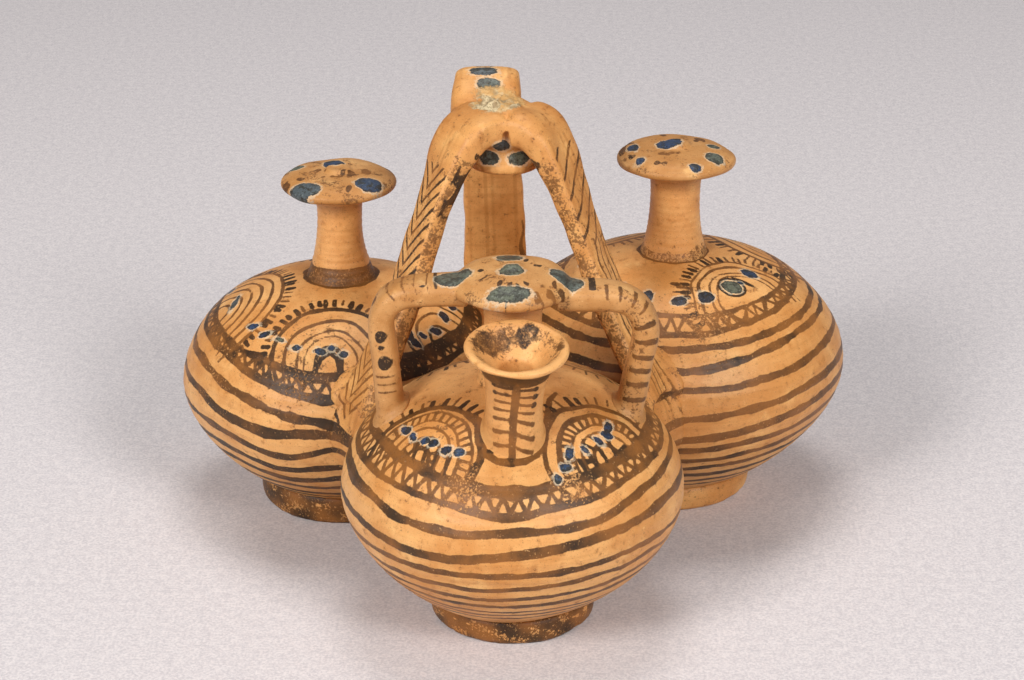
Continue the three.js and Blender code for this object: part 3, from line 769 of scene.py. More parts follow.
def disc_path(jar):
    radius, rim, under, dome, boss = jar["disc"]
    bottom = jar["belt"] + jar["rise"] + jar["neck"][3]
    edge = bottom + under + rim / 2
    path = [(0, bottom), (jar["neck"][2] + 0.4, bottom)]
    for turn in np.linspace(-math.pi / 2, math.pi / 2, 13):
        path.append((radius - rim / 2 + rim / 2 * math.cos(turn), edge + rim / 2 * math.sin(turn)))
    foot = radius - rim / 2
    for turn in np.linspace(0, math.acos(boss / foot), 30)[1:]:
        path.append((foot * math.cos(turn), edge + rim / 2 + (dome - 1) * math.sin(turn)))
    top = edge + rim / 2 + dome
    return path + [(boss - 0.6, top - 0.3), (boss - 1.4, top), (0, top - 0.2)]


def disc_piece(name):
    jar = jars[name]
    piece = spun(f"{name}_disc_skin", disc_path(jar), 0.4, jar["disc"][0])
    shift(piece, jar["axis"])
    uneven(piece, 0.22, 19, 11 * len(name))
    return piece


def disc_map(points, jar):
    """Millimetres from a disc's middle: to the right, and towards the viewer."""
    return points[:, 0] - jar["axis"][0], jar["axis"][1] - points[:, 1]


def paint_disc(piece, name, spots, smudges, sooty):
    """Spots on a disc, and smudges of worn paint: place, half sizes, turn and tone."""
    jar = jars[name]
    points = points_of(piece)
    x, y = disc_map(points, jar)
    o = Ornament(len(points))
    above = points[:, 2] > jar["belt"] + jar["rise"] + jar["neck"][3] + jar["disc"][2] - 0.4
    o.blue(x, y, spots)
    blots = flat_waves(x, y, 3, 17)
    for at, size, turn, tone in smudges:
        o.lay(np.minimum(o.oval(x, y, at, size, turn), 0.4) + 0.5 * blots, tone)
    o.spot = np.where(above, o.spot, FAR)
    o.paint = np.where(above, o.paint, FAR)
    o.wear[:] = 0.45
    around = np.hypot(x, y) / jar["disc"][0]
    edge = smooth(1 - np.abs(around - 0.94) / 0.12) * np.maximum(flat_waves(x, y, 12, 19) + 0.35, 0)
    o.soot[:] = sooty + 0.14 * flat_waves(x, y, 9, 20) + 0.35 * edge
    return o


discs = {name: disc_piece(name) for name in ("left", "right")}
disc_paint = {
    "left": ([((-1.9, -5.4), (3.3, 3.9), 0, 0.3), ((-9.2, 12.6), (5, 3.1), 18, 0.6),
              ((9.7, 9.6), (4.2, 3.6), -15, 0.45), ((-13.4, -4.4), (2.6, 2.2), 20, 0.9)],
             [((-6.4, 0.6), (1.7, 1.4), 0, 0.35), ((8.6, 0.4), (1.7, 2.6), 0, 0.2),
              ((3.6, 3.2), (2.4, 1.9), 20, 0.7), ((-11.2, 6.4), (1.2, 1), 0, 0.8),
              ((4.2, 13), (1.2, 1.3), 0, 0.8), ((-16, 7.6), (1.6, 2.4), 0, 0.8),
              ((0, 5.4), (4, 0.7), 0, 0.35)], 0.26),
    "right": ([((-2.2, -0.4), (4, 4.4), 0, 0.35), ((-13.4, 0.2), (1.8, 2.8), 0, 0.3),
               ((-11.6, 9.8), (1.6, 1.8), 0, 0.4), ((5.2, 14.8), (1.9, 1.6), 0, 0.3),
               ((11.3, 8.2), (2.8, 3), -25, 0.75), ((11.7, -0.8), (1.9, 2), 0, 1)],
              [((7.2, -6.6), (1.9, 3), 0, 0.7), ((-4, -11.2), (1.3, 1.6), 0, 0.6),
               ((2.8, -10.1), (1.3, 0.9), 0, 0.6), ((-5.6, 13.2), (2, 0.8), 0, 0.75),
               ((-3, 7), (3.4, 1.2), 0, 0.55), ((-16.6, -1), (1.4, 3.4), 0, 0.7),
               ((-14.6, -6), (1.2, 3), -30, 0.7), ((-14, 6), (1.2, 1.4), 0, 0.8)], 0.14),
}
for name, piece in discs.items():
    paint_disc(piece, name, *disc_paint[name]).onto(piece)

# %% [markdown]
# ## The spout
# The spout is a small trumpet that leans outwards from the shoulder. It is spun about its own axis,
# out along the outside, over the lip and down the funnel into the bore. Its foot is then lowered onto
# the round shoulder, point by point, and swept out into it, as a potter's thumb would do.

# %% Spout
spout = dict(out=25.5, side=0.5, lean=8.5, lean_right=2.2, length=27.4, base=8.7, waist=7.7,
             lip=14.6, bore=4.7, root=-6, funnel=6.6)
spout_seat = float(dome_at(jars["front"], spout["out"]))


def rotation(lean, right):
    a, b = math.radians(lean), math.radians(right)
    about_x = np.array([[1, 0, 0], [0, math.cos(a), -math.sin(a)], [0, math.sin(a), math.cos(a)]])
    about_y = np.array([[math.cos(b), 0, math.sin(b)], [0, 1, 0], [-math.sin(b), 0, math.cos(b)]])
    return about_y @ about_x


def spout_piece():
    base, waist, lip, bore, length = (spout[key] for key in ("base", "waist", "lip", "bore", "length"))
    share = np.linspace(0, 1, 50)
    stem = waist + (1 - share) ** 2.6 * (base - waist) + share**5 * (lip - waist)
    stem += 0.5 * (1 - smooth(share / 0.06)) ** 2
    path = [(bore, spout["root"]), (base + 0.4, spout["root"]), (base + 1, -1.6)]
    path += list(zip(stem, share * (length - 1.3)))
    path += [(lip + 0.1, length - 0.9), (lip - 0.2, length - 0.25), (lip - 0.9, length),
             (lip - 1.9, length - 0.05), (lip - 2.7, length - 0.5)]
    for part in np.linspace(0, 1, 24):
        radius = bore + (lip - 3.3 - bore) * (1 - part) ** 1.15
        path.append((radius, length - 1.1 - spout["funnel"] * part**0.9))
    path.append((bore, spout["root"]))
    piece = spun("spout_skin", path, 0.42, lip)
    points = points_of(piece)
    local = points.copy()
    points = points @ rotation(spout["lean"], spout["lean_right"]).T
    x, y = points[:, 0] + spout["side"], points[:, 1] - spout["out"]
    drop = dome_at(jars["front"], np.hypot(x, y)) - spout_seat
    settle = 1 - smooth(local[:, 2] / 9)
    points = np.stack([x, y, points[:, 2] + spout_seat + settle * drop], 1)
    points[:, :2] += jars["front"]["axis"]
    move_points(piece, points)
    uneven(piece, 0.2, 17, 23)
    return piece, local


spout_skin, local = spout_piece()


def paint_spout():
    o = Ornament(len(local))
    radius, up = np.hypot(local[:, 0], local[:, 1]), local[:, 2]
    facing = normals_of(spout_skin)[:, 2]
    lip, length, waist = spout["lip"], spout["length"], spout["waist"]
    inside = (up > length - 11) & (radius < lip - 0.9) & (facing > 0.1)
    u = np.where(inside, 99, np.arctan2(local[:, 0], -local[:, 1]) * radius)
    o.line(u, up, [(0.6, 24), (0.4, 18), (0, 11), (-0.2, 4), (0, -3)], [2, 2.5, 2.3, 2, 2.2], 0.45)
    bars = [(21.4, 6.6, 1.25, 0.8), (18.6, 6.2, 1.2, 0.75), (16, 6, 1.05, 0.7), (13.4, 5.8, 1, 0.45),
            (10.9, 5.8, 0.9, 0.4), (8.3, 5.8, 0.9, 0.4), (5.7, 5.8, 0.85, 0.35), (3.2, 5.6, 0.85, 0.35)]
    for number, (at, reach, width, tone) in enumerate(bars):
        droop = 0.25 * number
        left_end, right_end = (-reach, at + 0.6 - droop * 0.7), (reach, at - 0.3 - droop)
        o.line(u, up, [(-0.8, at + 0.3), left_end], [width * 0.8, width * 1.1], tone)
        o.line(u, up, [(0.8, at), right_end], [width * 0.8, width * 1.2], tone)
        if number < 3:
            o.dab(u, up, left_end, (1, 0.8), 0, 1)
        if number < 4:
            o.dab(u, up, right_end, (1.1, 1), 0, 0.95)
    # The dark under the lip's flare is painted shade: dark brown slip laid on the outside of the flare, only
    # where the skin turns downwards.
    under_lip_shade = np.minimum(radius - waist - 1.6, lip - 1.1 - radius)
    o.lay(np.where((up > length - 8) & (facing < 0.1), under_lip_shade, FAR), 0.7)
    x, y = local[:, 0], -local[:, 1]
    ragged = 0.4 * flat_waves(x, y, 6, 44) + 0.2 * flat_waves(x, y, 2.4, 45)
    near = 1.5 - np.abs(radius - lip + 4)
    for at, size, turn, tone, thin, clean in [((-7.4, -5.6), (7, 3.6), -35, 0.75, 0.7, 0),
                                              ((-2.6, -8), (3.8, 1.4), -10, 0.95, 0.2, 0),
                                              ((2.6, -9.6), (3.6, 2.6), 0, 1, 0.3, 0),
                                              ((12, -1.5), (1, 4), 8, 0.5, 0, 0.6)]:
        stain = o.oval(x, y, at, size, turn) + ragged
        o.lay(np.where(inside, np.minimum((stain - thin) * 0.35, 0.12), FAR), tone)
        near = np.maximum(near, stain - clean)
    o.wear[:] = np.where(inside, 0.5, 0.2)
    o.soot[:] = np.where(inside, 0.16 + 0.34 * smooth(0.6 + near / 3), 0.14)
    o.crust[:] = np.where(inside & (o.paint < 0), 0.2, 0)
    o.onto(spout_skin)


paint_spout()

# %% [markdown]
# ## Rolled and bent straps
# A handle starts as a straight roll of clay. In the same way each one starts here as a cylinder, cut
# across into many rings, whose points are then laid along a curve. The section is between an ellipse
# and a box, since fingers pressed the roll flat. Width, thickness and twist change on the way down.

# %% Straps


def bezier(knots, share):
    share = share[:, None]
    a, b, c, d = knots
    return ((1 - share) ** 3 * a + 3 * share * (1 - share) ** 2 * b
            + 3 * share**2 * (1 - share) * c + share**3 * d)


def by_length(path, count=240):
    """A path resampled at even steps of its length."""
    way = np.append(0, np.cumsum(np.linalg.norm(np.diff(path, axis=0), axis=1)))
    return in_between(np.linspace(0, way[-1], count), way, path), way[-1]


def strap(name, path, half_width, half_thickness, twist, upright, boxy):
    """A roll of clay laid along a path that lies in an upright plane. Boxy is 1 for an oval section."""
    sides, cuts = 28, 60
    path, length = by_length(path)
    share = np.linspace(0, 1, len(path))
    tangent = np.gradient(path, axis=0)
    tangent /= np.linalg.norm(tangent, axis=1)[:, None]
    turn = twist(share)
    level = np.stack([-np.sin(turn + upright), np.cos(turn + upright), 0 * share], 1)
    outwards = np.cross(tangent, level)
    outwards /= np.linalg.norm(outwards, axis=1)[:, None]
    across = np.cross(outwards, tangent)
    deselect()
    bpy.ops.mesh.primitive_cylinder_add(vertices=sides, radius=1, depth=1, end_fill_type="TRIFAN")
    piece = bpy.context.object
    piece.name = name
    edit(piece)
    bpy.ops.mesh.select_mode(type="EDGE")
    bpy.ops.mesh.select_all(action="DESELECT")
    leave()
    for edge in piece.data.edges:
        a, b = (piece.data.vertices[number].co for number in edge.vertices)
        edge.select = abs(a.z - b.z) > 0.5
    bpy.ops.object.mode_set(mode="EDIT")
    bpy.ops.mesh.subdivide(number_cuts=cuts)
    bpy.ops.mesh.select_mode(type="VERT")
    leave()
    corners = points_of(piece) * MM
    at = corners[:, 2] + 0.5
    size = np.hypot(corners[:, 0], corners[:, 1])
    side = np.arctan2(corners[:, 1], corners[:, 0])

    def boxed(value):
        return np.sign(value) * np.abs(value) ** boxy

    u = boxed(np.cos(side)) * half_width(at) * size
    v = boxed(np.sin(side)) * half_thickness(at) * size
    middle, right, out = (in_between(at, share, field) for field in (path, across, outwards))
    move_points(piece, middle + right * u[:, None] + out * v[:, None])
    return piece, dict(path=path, across=across, outwards=outwards, tangent=tangent, length=length)


def joined(name, pieces):
    pick(pieces[0])
    for piece in pieces:
        piece.select_set(True)
    bpy.ops.object.join()
    pieces[0].name = name
    return pieces[0]


def kneaded(piece, voxel, rounds):
    """Overlapping lumps become one skin, whose creases are rubbed soft."""
    applied(piece, "REMESH", mode="VOXEL", voxel_size=voxel * MM, adaptivity=0)
    applied(piece, "SMOOTH", factor=0.5, iterations=rounds)
    bpy.ops.object.shade_smooth()
    return piece


def off_jar(points, jar):
    """How far points lie outside a jar's skin, and the way out from it."""
    radius, height, _ = outline(jar, 160)
    away = points[:, :2] - jar["axis"]
    reach = np.linalg.norm(away, axis=1)
    here = np.stack([reach, points[:, 2]], 1)
    there = np.stack([radius, height], 1)
    gaps = ((here[:, None, :] - there[None, :, :]) ** 2).sum(2)
    near = gaps.argmin(1)
    slope = np.stack([-np.gradient(height), np.gradient(radius)], 1)
    slope /= np.linalg.norm(slope, axis=1)[:, None]
    out = slope[near]
    signed = ((here - there[near]) * out).sum(1)
    flat = away / np.maximum(reach, 1e-6)[:, None]
    return signed, np.concatenate([flat * out[:, :1], out[:, 1:]], 1)


def luted(piece, names, reach):
    """Sweeps a piece's foot outwards over the jars that it stands on."""
    over_jars = 90  # a height that no jar's shoulder comes near
    points, normals = points_of(piece), normals_of(piece)
    for name in names:
        near = points[:, 2] < over_jars
        away, out = off_jar(points[near], jars[name])
        sideways = normals[near] - (normals[near] * out).sum(1)[:, None] * out
        size = np.linalg.norm(sideways, axis=1)[:, None]
        sideways /= np.maximum(size, 0.3)
        share = np.clip(1 - np.maximum(away, 0) / reach, 0, 1)
        spread = reach * (1 - np.sqrt(np.maximum(1 - share**2, 0)))
        points[near] += sideways * np.minimum(spread, reach * 0.8)[:, None]
    move_points(piece, points)


def along_strap(points, strip):
    """For each point: the way along a strap, across it, out from it, and how far away it is."""
    step = 4
    gaps = ((points[:, None, :] - strip["path"][None, ::step, :]) ** 2).sum(2)
    near = gaps.argmin(1) * step
    offset = points - strip["path"][near]
    way = near / (len(strip["path"]) - 1) * strip["length"] + (offset * strip["tangent"][near]).sum(1)
    across, out = ((offset * strip[key][near]).sum(1) for key in ("across", "outwards"))
    return way, across, out, np.sqrt(gaps.min(1))


# %% [markdown]
# ## The front disc and its two stirrups
# The stirrups grow out of the front disc's rim without a seam, so disc and stirrups are kneaded into
# one skin. A voxel remesh does that: it keeps only the outside of overlapping forms, with even facets,
# and a smoothing pass rubs the inner corners round. The stirrups' feet are luted onto the shoulder.

# %% Stirrup top
stirrup_straps = {}


def stirrup_piece(name, way, reach, level, foot):
    """One handle, from the disc's rim outwards by the reach, and down to the shoulder."""
    jar = jars["front"]
    up = jar["belt"] + jar["rise"] + jar["neck"][3] + level
    inside = jar["disc"][0] - 5
    end = float(dome_at(jar, foot)) - 6
    corner = 13
    bend = np.linspace(0, 1, 40)[:, None]
    a, b, c = np.array([[reach - corner, up], [reach + 1, up + 0.2], [reach, up - corner]])
    path = np.concatenate([[(inside, up + 0.4)],
                           (1 - bend) ** 2 * a + 2 * bend * (1 - bend) * b + bend**2 * c, [(foot, end)]])
    path = np.stack([way * path[:, 0], 0 * path[:, 0], path[:, 1]], 1)
    path[:, :2] += jar["axis"]
    piece, stirrup_straps[name] = strap(
        name, path, lambda s: (11.5 + 1.8 * s**6 + 3.2 * (1 - s) ** 5) / 2 + 0.15,
        lambda s: (7.4 + 0.8 * s**7) / 2 + 0.15, lambda s: 0 * s, 0 if way > 0 else math.pi, 0.7)
    return piece


def stirrup_top():
    jar = jars["front"]
    disc = spun("front_disc_core", disc_path(jar), 0.5, jar["disc"][0])
    shift(disc, jar["axis"])
    left = stirrup_piece("stirrup_left", -1, 37.2, 1.6, 34.4)
    right = stirrup_piece("stirrup_right", 1, 37.6, 0.3, 32.6)
    piece = kneaded(joined("stirrup_top", [disc, left, right]), 0.5, 7)
    uneven(piece, 0.25, 16, 77)
    luted(piece, ["front"], 2)
    return piece


stirrups = stirrup_top()
print("stirrup top", len(stirrups.data.polygons), "faces")


def paint_stirrups():
    points = points_of(stirrups)
    spots = [((-16.6, 1.2), (5.4, 4.4), 0, 0.75), ((15.3, 1.6), (4.8, 4.4), 0, 0.7),
             ((-0.8, 13.9), (6, 2.5), 0, 0.8), ((-0.2, 3.3), (3.6, 2.9), 0, 0.85),
             ((-0.8, -8), (4, 2.9), 0, 0.8)]
    smudges = [((6.4, 14.2), (2, 1.2), 30, 0.4), ((10.4, 11.8), (2.6, 1.2), 40, 0.4),
               ((13.4, 8.9), (2.6, 1.2), 40, 0.5)]
    for turn in (-62, -40, -20, 0, 14, 30, 118, 150, 200, 262):
        at = (8.4 * math.sin(math.radians(turn)) - 0.6, 8.6 * math.cos(math.radians(turn)) + 2.4)
        smudges.append((at, (1.1, 0.6), 90 - turn, 0.8))
    o = paint_disc(stirrups, "front", spots, smudges, 0.22)
    x, y = disc_map(points, jars["front"])
    o.line(x, y, [(-1.4, 15), (-1.8, 19)], [0.5, 0.35], 1)
    for name, strip in stirrup_straps.items():
        way, across, out, away = along_strap(points, strip)
        u = np.where((away < 9) & (np.abs(x) > 17) & (out > -3), way, 999)
        forward = across if name == "stirrup_left" else -across
        v = np.where(forward > 4.6, forward + np.maximum(3.8 - out, 0), forward)
        if name == "stirrup_left":
            for at, size in [((32.3, 9.8), (1.9, 1.6)), ((35.6, 9.8), (0.7, 1)), ((40.4, 10.2), (2.3, 1.9))]:
                o.dab(u, v, at, size, 0, 1)
            o.line(u, v, [(9.2, -5), (9, 1), (8.6, 7)], [0.9, 1.2, 0.8], 0.9)
            for at in (11.4, 14.8, 17.6, 21):
                o.line(u, v, [(at, -5), (at, 4), (at - 0.8, 9)], [0.6, 0.5, 0.4], 0.35)
            o.dab(u, v, (12.6, 5.4), (0.9, 0.9), 0, 0.95)
            o.dab(u, v, (25, 1), (1.6, 1), 90, 0.4)
            for at in (44.6, 47, 49.4):
                o.line(u, v, [(at, 7), (at, 12)], [0.6, 0.5], 0.4)
        else:
            for at in (27.8, 32.5, 37.4, 41.6, 45.8, 50.4):
                o.line(u, v, [(at, 4.6), (at, 8.5), (at + 0.6, 12.6)], [1.5, 1.7, 1.2], 0.5)
            o.line(u, v, [(9.6, -3.6), (9.8, 4.4)], [1.9, 2.1], 0.9)
            for at in (13.6, 17, 20.6, 23.6):
                o.line(u, v, [(at, 2), (at + 0.4, 9)], [1, 0.7], 0.35)
    o.wear[:] = 0.35
    o.onto(stirrups)


paint_stirrups()

# %% [markdown]
# ## The basket handle
# Three straps spring from a small domed hub and sink into the valleys between the jars, where lumps of
# clay fill the gap under them, and a pad of clay is pressed over the front of the hub. They are kneaded
# into one skin too, because no seam shows on the pot. The rear strap is the widest and rises highest.
# The front two are narrow and a little twisted.

# %% Basket handle
hub = dict(at=np.array([-2.6, 9.04]), under=119.1, radius=11, rim=4.2, waist=6.6, waist_up=14.4, dome=20.4)
root = dict(out=6.8, up=13.6, width=20.6, thickness=10.8)
leg_thickness = 6.6
legs = {
    "left": dict(crest=(22.8, 18.8), belly=(24.8, -22.5), width=14.6, twist=-14, drift=(0, 0),
                 pair=("front", "left")),
    "right": dict(crest=(20.8, 16.4), belly=(23.4, -22), width=15.6, twist=10, drift=(0, 0),
                  pair=("front", "right")),
    "rear": dict(crest=(31, 42), belly=(24, -20), width=18, twist=0, drift=(5.2, 0.4),
                 pair=("left", "right")),
}
leg_straps = {}


def join_way(pair):
    """The valley between two jars: its edge, which way it opens, and how high its belts are."""
    middle, across, half_width = join_between(*pair)
    way = np.array([-across[1], across[0]])
    way *= np.sign(way @ (middle - hub["at"]))
    return middle, way, half_width, (jars[pair[0]]["belt"] + jars[pair[1]]["belt"]) / 2


def fade(share, reach):
    """1 at a leg's root, and 0 from its reach on."""
    return np.maximum(1 - share / reach, 0) ** 2


def leg_piece(name):
    leg = legs[name]
    middle, way, half_width, belts = join_way(leg["pair"])
    run = middle + way * (half_width + 7) - hub["at"]
    length = np.linalg.norm(run)
    aim = run / length
    side = np.array([-aim[1], aim[0]])
    crest, belly = leg["crest"], leg["belly"]
    knots = [(root["out"], root["up"] + hub["under"]), (crest[0], crest[1] + hub["under"]),
             (belly[0], belly[1] + hub["under"]), (length, belts + 12.6)]
    share = np.linspace(0, 1, 200)
    flat = bezier(np.array(knots, float), share)
    drift = leg["drift"][0] + (leg["drift"][1] - leg["drift"][0]) * share
    path = np.concatenate([hub["at"] + flat[:, :1] * aim + drift[:, None] * side, flat[:, 1:]], 1)
    wider, thicker = root["width"] - leg["width"], root["thickness"] - leg_thickness
    piece, leg_straps[name] = strap(
        f"leg_{name}", path, lambda s: (leg["width"] + wider * fade(s, 0.5) + 3.4 * s**4) / 2 + 0.15,
        lambda s: (leg_thickness + thicker * fade(s, 0.34)) / 2 + 0.15,
        lambda s: math.radians(leg["twist"]) * np.minimum(s / 0.4, 1), math.atan2(run[1], run[0]), 0.5)
    return piece


def pebble(name, radius, heights, power=1):
    """A round lump of clay about the z axis."""
    turn = np.linspace(-math.pi / 2, math.pi / 2, len(heights))
    path = list(zip(radius * np.cos(turn) ** power, heights))
    path[0], path[-1] = (0, path[0][1]), (0, path[-1][1])
    return spun(name, path, 0.9, radius)


def lump_piece(name):
    middle, way, half_width, belts = join_way(legs[name]["pair"])
    turn = np.linspace(-math.pi / 2, math.pi / 2, 21)
    piece = pebble(f"lump_{name}", 8.2, belts + np.where(turn < 0, 14, 15) * np.sin(turn), 0.8)
    shift(piece, middle + way * (half_width + 3.5))
    return piece


def hub_piece():
    turn = np.linspace(0, math.pi / 2, 12)
    under, radius, rim, waist, up, dome = (
        hub[key] for key in ("under", "radius", "rim", "waist", "waist_up", "dome"))
    share = np.linspace(0, 1, 12)
    dished = [(radius - 0.6 - 2.4 * part**0.7, under + rim - 0.3 + 4.4 * part**1.4) for part in share]
    swell = [(waist + 2.2, under + 11), (waist + 3.2, under + 12.8), (waist + 3.9, under + up)]
    crown = list(zip((waist + 3.9) * np.cos(turn) ** 0.8, under + up + (dome - up) * np.sin(turn)))[1:-1]
    path = [(0, under), (radius - 1, under), (radius, under + 0.8), (radius + 0.1, under + rim - 0.8)]
    piece = spun("hub_core", path + dished + swell + crown + [(0, under + dome)], 0.5, radius)
    shift(piece, hub["at"])
    return piece


def pad_piece():
    """The pad of clay that was pressed over the front of the hub, between the two front legs."""
    turn = np.linspace(-math.pi / 2, math.pi / 2, 17)
    piece = pebble("pad", 10, hub["under"] + 11.6 + 8.4 * np.sin(turn))
    points = points_of(piece)
    points[:, 0] = points[:, 0] * 1.15 + hub["at"][0]
    points[:, 1] += hub["at"][1] - 0.2
    move_points(piece, points)
    return piece


def basket_handle():
    pieces = [hub_piece(), pad_piece()]
    pieces += [leg_piece(name) for name in legs] + [lump_piece(name) for name in legs]
    piece = kneaded(joined("basket_handle", pieces), 0.6, 5)
    points = points_of(piece)
    x, y = points[:, 0] - hub["at"][0], points[:, 1] - hub["at"][1]
    crusted = smooth((points[:, 2] - hub["under"] - 17.5) / 3) * patch(x, y, (-2.6, -0.6), 10, 1.3)
    rough = np.maximum(waves(points, 4.5, 61), -0.2) + 0.5 * waves(points, 1.9, 62)
    move_points(piece, points + normals_of(piece) * (0.75 * crusted * rough)[:, None])
    uneven(piece, 0.3, 14, 63)
    luted(piece, ["front", "left", "right"], 4.5)
    return piece, crusted


handle, crusted = basket_handle()
print("basket handle", len(handle.data.polygons), "faces")


def paint_handle():
    points = points_of(handle)
    o = Ornament(len(points))
    found = {name: along_strap(points, strip) for name, strip in leg_straps.items()}
    nearest = np.argmin([found[name][3] for name in legs], axis=0)
    marks = {"lengthways": np.zeros(len(points)), "crossways": np.zeros(len(points))}
    for number, name in enumerate(legs):
        way, across, out, away = found[name]
        half = legs[name]["width"] / 2
        mine = (nearest == number) & (away < 14) & (way > 9)
        upper = mine & (out > 1.2)
        face = np.minimum(out - 1, half - 0.4 - np.abs(across))
        face = np.maximum(np.where(mine, face, FAR), FAR)
        marks["lengthways"] = np.where(mine, way, marks["lengthways"])
        marks["crossways"] = np.where(mine, across, marks["crossways"])
        if name == "left":
            marks["chevrons"] = np.minimum(face, way - 19)
            o.tone[upper] = 0.12
        elif name == "right":
            marks["stripes"] = np.minimum(face, np.minimum(way - 12, 42 - way))
            o.tone[upper] = 0.15
            for side in (-4.4, -1.4, 2.2, 5):
                line = 0.4 - np.abs(across - side - 0.6 * waves(way[:, None], 17, 5))
                o.lay(np.where(upper & (way > 40), line, FAR), 0.3)
        else:
            stroke = (way - 66) * 0.05 + 0.2 - np.abs(across + half - 0.6 - waves(way[:, None], 9, 73) * 0.4)
            o.lay(np.where(mine & (way > 66) & (way < 84), stroke, FAR), 0.65)
        edge = np.abs(across) - half
        if name != "rear":
            ridge = np.minimum(1.7 + waves(points, 5, 71) - np.abs(edge + 0.4), 2.4 - np.abs(out + 1))
            end = 32 if name == "left" else 17
            fading = np.minimum(ridge, (end - way) * 0.12 + 0.8 * waves(points, 6, 75))
            o.lay(np.where(mine & (way > 11), fading, FAR), 0.7)
            sides = smooth((edge + 2) / 2) * smooth(1 - np.abs(out) / 5)
            o.soot += np.where(mine & (way > 14), 0.32 * sides + 0.08, 0)
        jar = jars["right" if name == "right" else "left"]
        _, height, skin = outline(jar)
        turn = np.degrees(np.arctan2(points[:, 0] - jar["axis"][0], jar["axis"][1] - points[:, 1]))
        over = Ornament(len(points))
        over.rows(turn, np.interp(-points[:, 2], -height, skin), jar, 0.1)
        low = (nearest == number) & (points[:, 2] < 57)
        o.lay(np.where(low, np.minimum(over.paint, (56 - points[:, 2]) * 0.4), FAR), over.tone)
    for key, values in marks.items():
        mark_points(handle, key, values)
    o.wear[:] = 0.4
    o.soot += 0.06
    x, up = points[:, 0] - hub["at"][0], points[:, 2] - hub["under"]
    front = points[:, 1] < hub["at"][1] + 6
    for at, size, tint in [((-0.9, 9.4), (2.6, 2), 0.6), ((-4.6, 5.1), (3.1, 2), 0.7),
                           ((4.6, 5.1), (3.4, 1.8), 0.95)]:
        o.lay_spot(np.where(front, o.oval(x, up, at, size, 0), FAR), tint)
    way, across, out, away = found["rear"]
    rear_top = (away < 12) & (out > 1) & (points[:, 2] > 128)
    for at, size, tint in [((11.4, 1.2), (1.7, 4.1), 0.6), ((7.2, -0.6), (2.1, 3.6), 0.7)]:
        o.lay_spot(np.where(rear_top, o.oval(way, across, at, size, 0), FAR), tint)
    o.crust = np.clip(crusted * 1.4, 0, 1)
    o.onto(handle)


paint_handle()

# %% [markdown]
# ## Shader maths in plain expressions
# A material is a web of nodes, and arithmetic on sockets is clearer as arithmetic. The class below
# wraps a socket. Adding or multiplying two of them puts a Math node in the web, and one method makes
# every other kind of node from its settings and inputs.

# %% Sockets that do arithmetic


class Wire:
    def __init__(self, sheet, socket):
        self.sheet, self.socket = sheet, socket

    def math(self, operation, *values):
        inputs = dict(enumerate((self, *values)))
        return self.sheet.node("ShaderNodeMath", {"operation": operation}, inputs)

    def __add__(self, other):
        return self.math("ADD", other)

    def __sub__(self, other):
        return self.math("SUBTRACT", other)

    def __mul__(self, other):
        return self.math("MULTIPLY", other)

    def __rsub__(self, other):
        return self.sheet.node("ShaderNodeMath", {"operation": "SUBTRACT"}, {0: other, 1: self})

    __radd__ = __add__
    __rmul__ = __mul__

    def between(self, low, high):
        """0 at low, 1 at high, and an eased step between them."""
        settings = {"interpolation_type": "SMOOTHSTEP"}
        return self.sheet.node("ShaderNodeMapRange", settings, {0: self, 1: low, 2: high})


class Finish:
    """One material being built."""

    def __init__(self, name):
        self.material = bpy.data.materials.new(name)
        self.material.use_nodes = True
        self.tree = self.material.node_tree
        self.tree.nodes.clear()
        self.place = self.node("ShaderNodeTexCoord", {}, {}, "Object")

    def node(self, kind, settings, inputs, output=0):
        made = self.tree.nodes.new(kind)
        for key, value in settings.items():
            setattr(made, key, value)
        for key, value in inputs.items():
            if isinstance(value, Wire):
                self.tree.links.new(value.socket, made.inputs[key])
            else:
                made.inputs[key].default_value = value
        return Wire(self, made.outputs[output]) if made.outputs else None

    def drawn(self, name):
        return self.node("ShaderNodeAttribute", {"attribute_name": name}, {}, "Fac")

    def noise(self, size, detail, rough=0.55, stretch=None):
        """Noise whose blotches are about that many millimetres across."""
        place = self.place
        if stretch:
            place = self.node("ShaderNodeMapping", {}, {"Vector": place, "Scale": stretch})
        inputs = {"Vector": place, "Scale": 1 / (size * MM), "Detail": detail, "Roughness": rough}
        return self.node("ShaderNodeTexNoise", {}, inputs, "Fac")

    def mix(self, factor, a, b):
        return self.node("ShaderNodeMix", {"data_type": "RGBA"}, {0: factor, 6: a, 7: b}, 2)

    def surfaced(self, inputs):
        """The shader that ends the web, and the finished material."""
        surface = self.node("ShaderNodeBsdfPrincipled", {}, inputs)
        self.node("ShaderNodeOutputMaterial", {}, {"Surface": surface})
        return self.material


def colour(red, green, blue):
    """A screen colour, 0 to 255, in the linear light that shaders use."""
    linear = [((c / 255 + 0.055) / 1.055) ** 2.4 if c > 10 else c / 255 / 12.92 for c in (red, green, blue)]
    return (*linear, 1)


# %% [markdown]
# ## Fired clay, paint and spots in one finish
# Buff clay is never one colour: the kiln left it paler here and redder there, the clay has dark and
# pale grit, and soil has stained it. The brown slip is thin, so the clay shines through where the
# brush ran dry, and it has flaked off in small pits. The blue-grey spots are thick and rough, with a
# pale halo of salts about them. One finish does all three, because they lie on the same clay.

# %% The clay finish


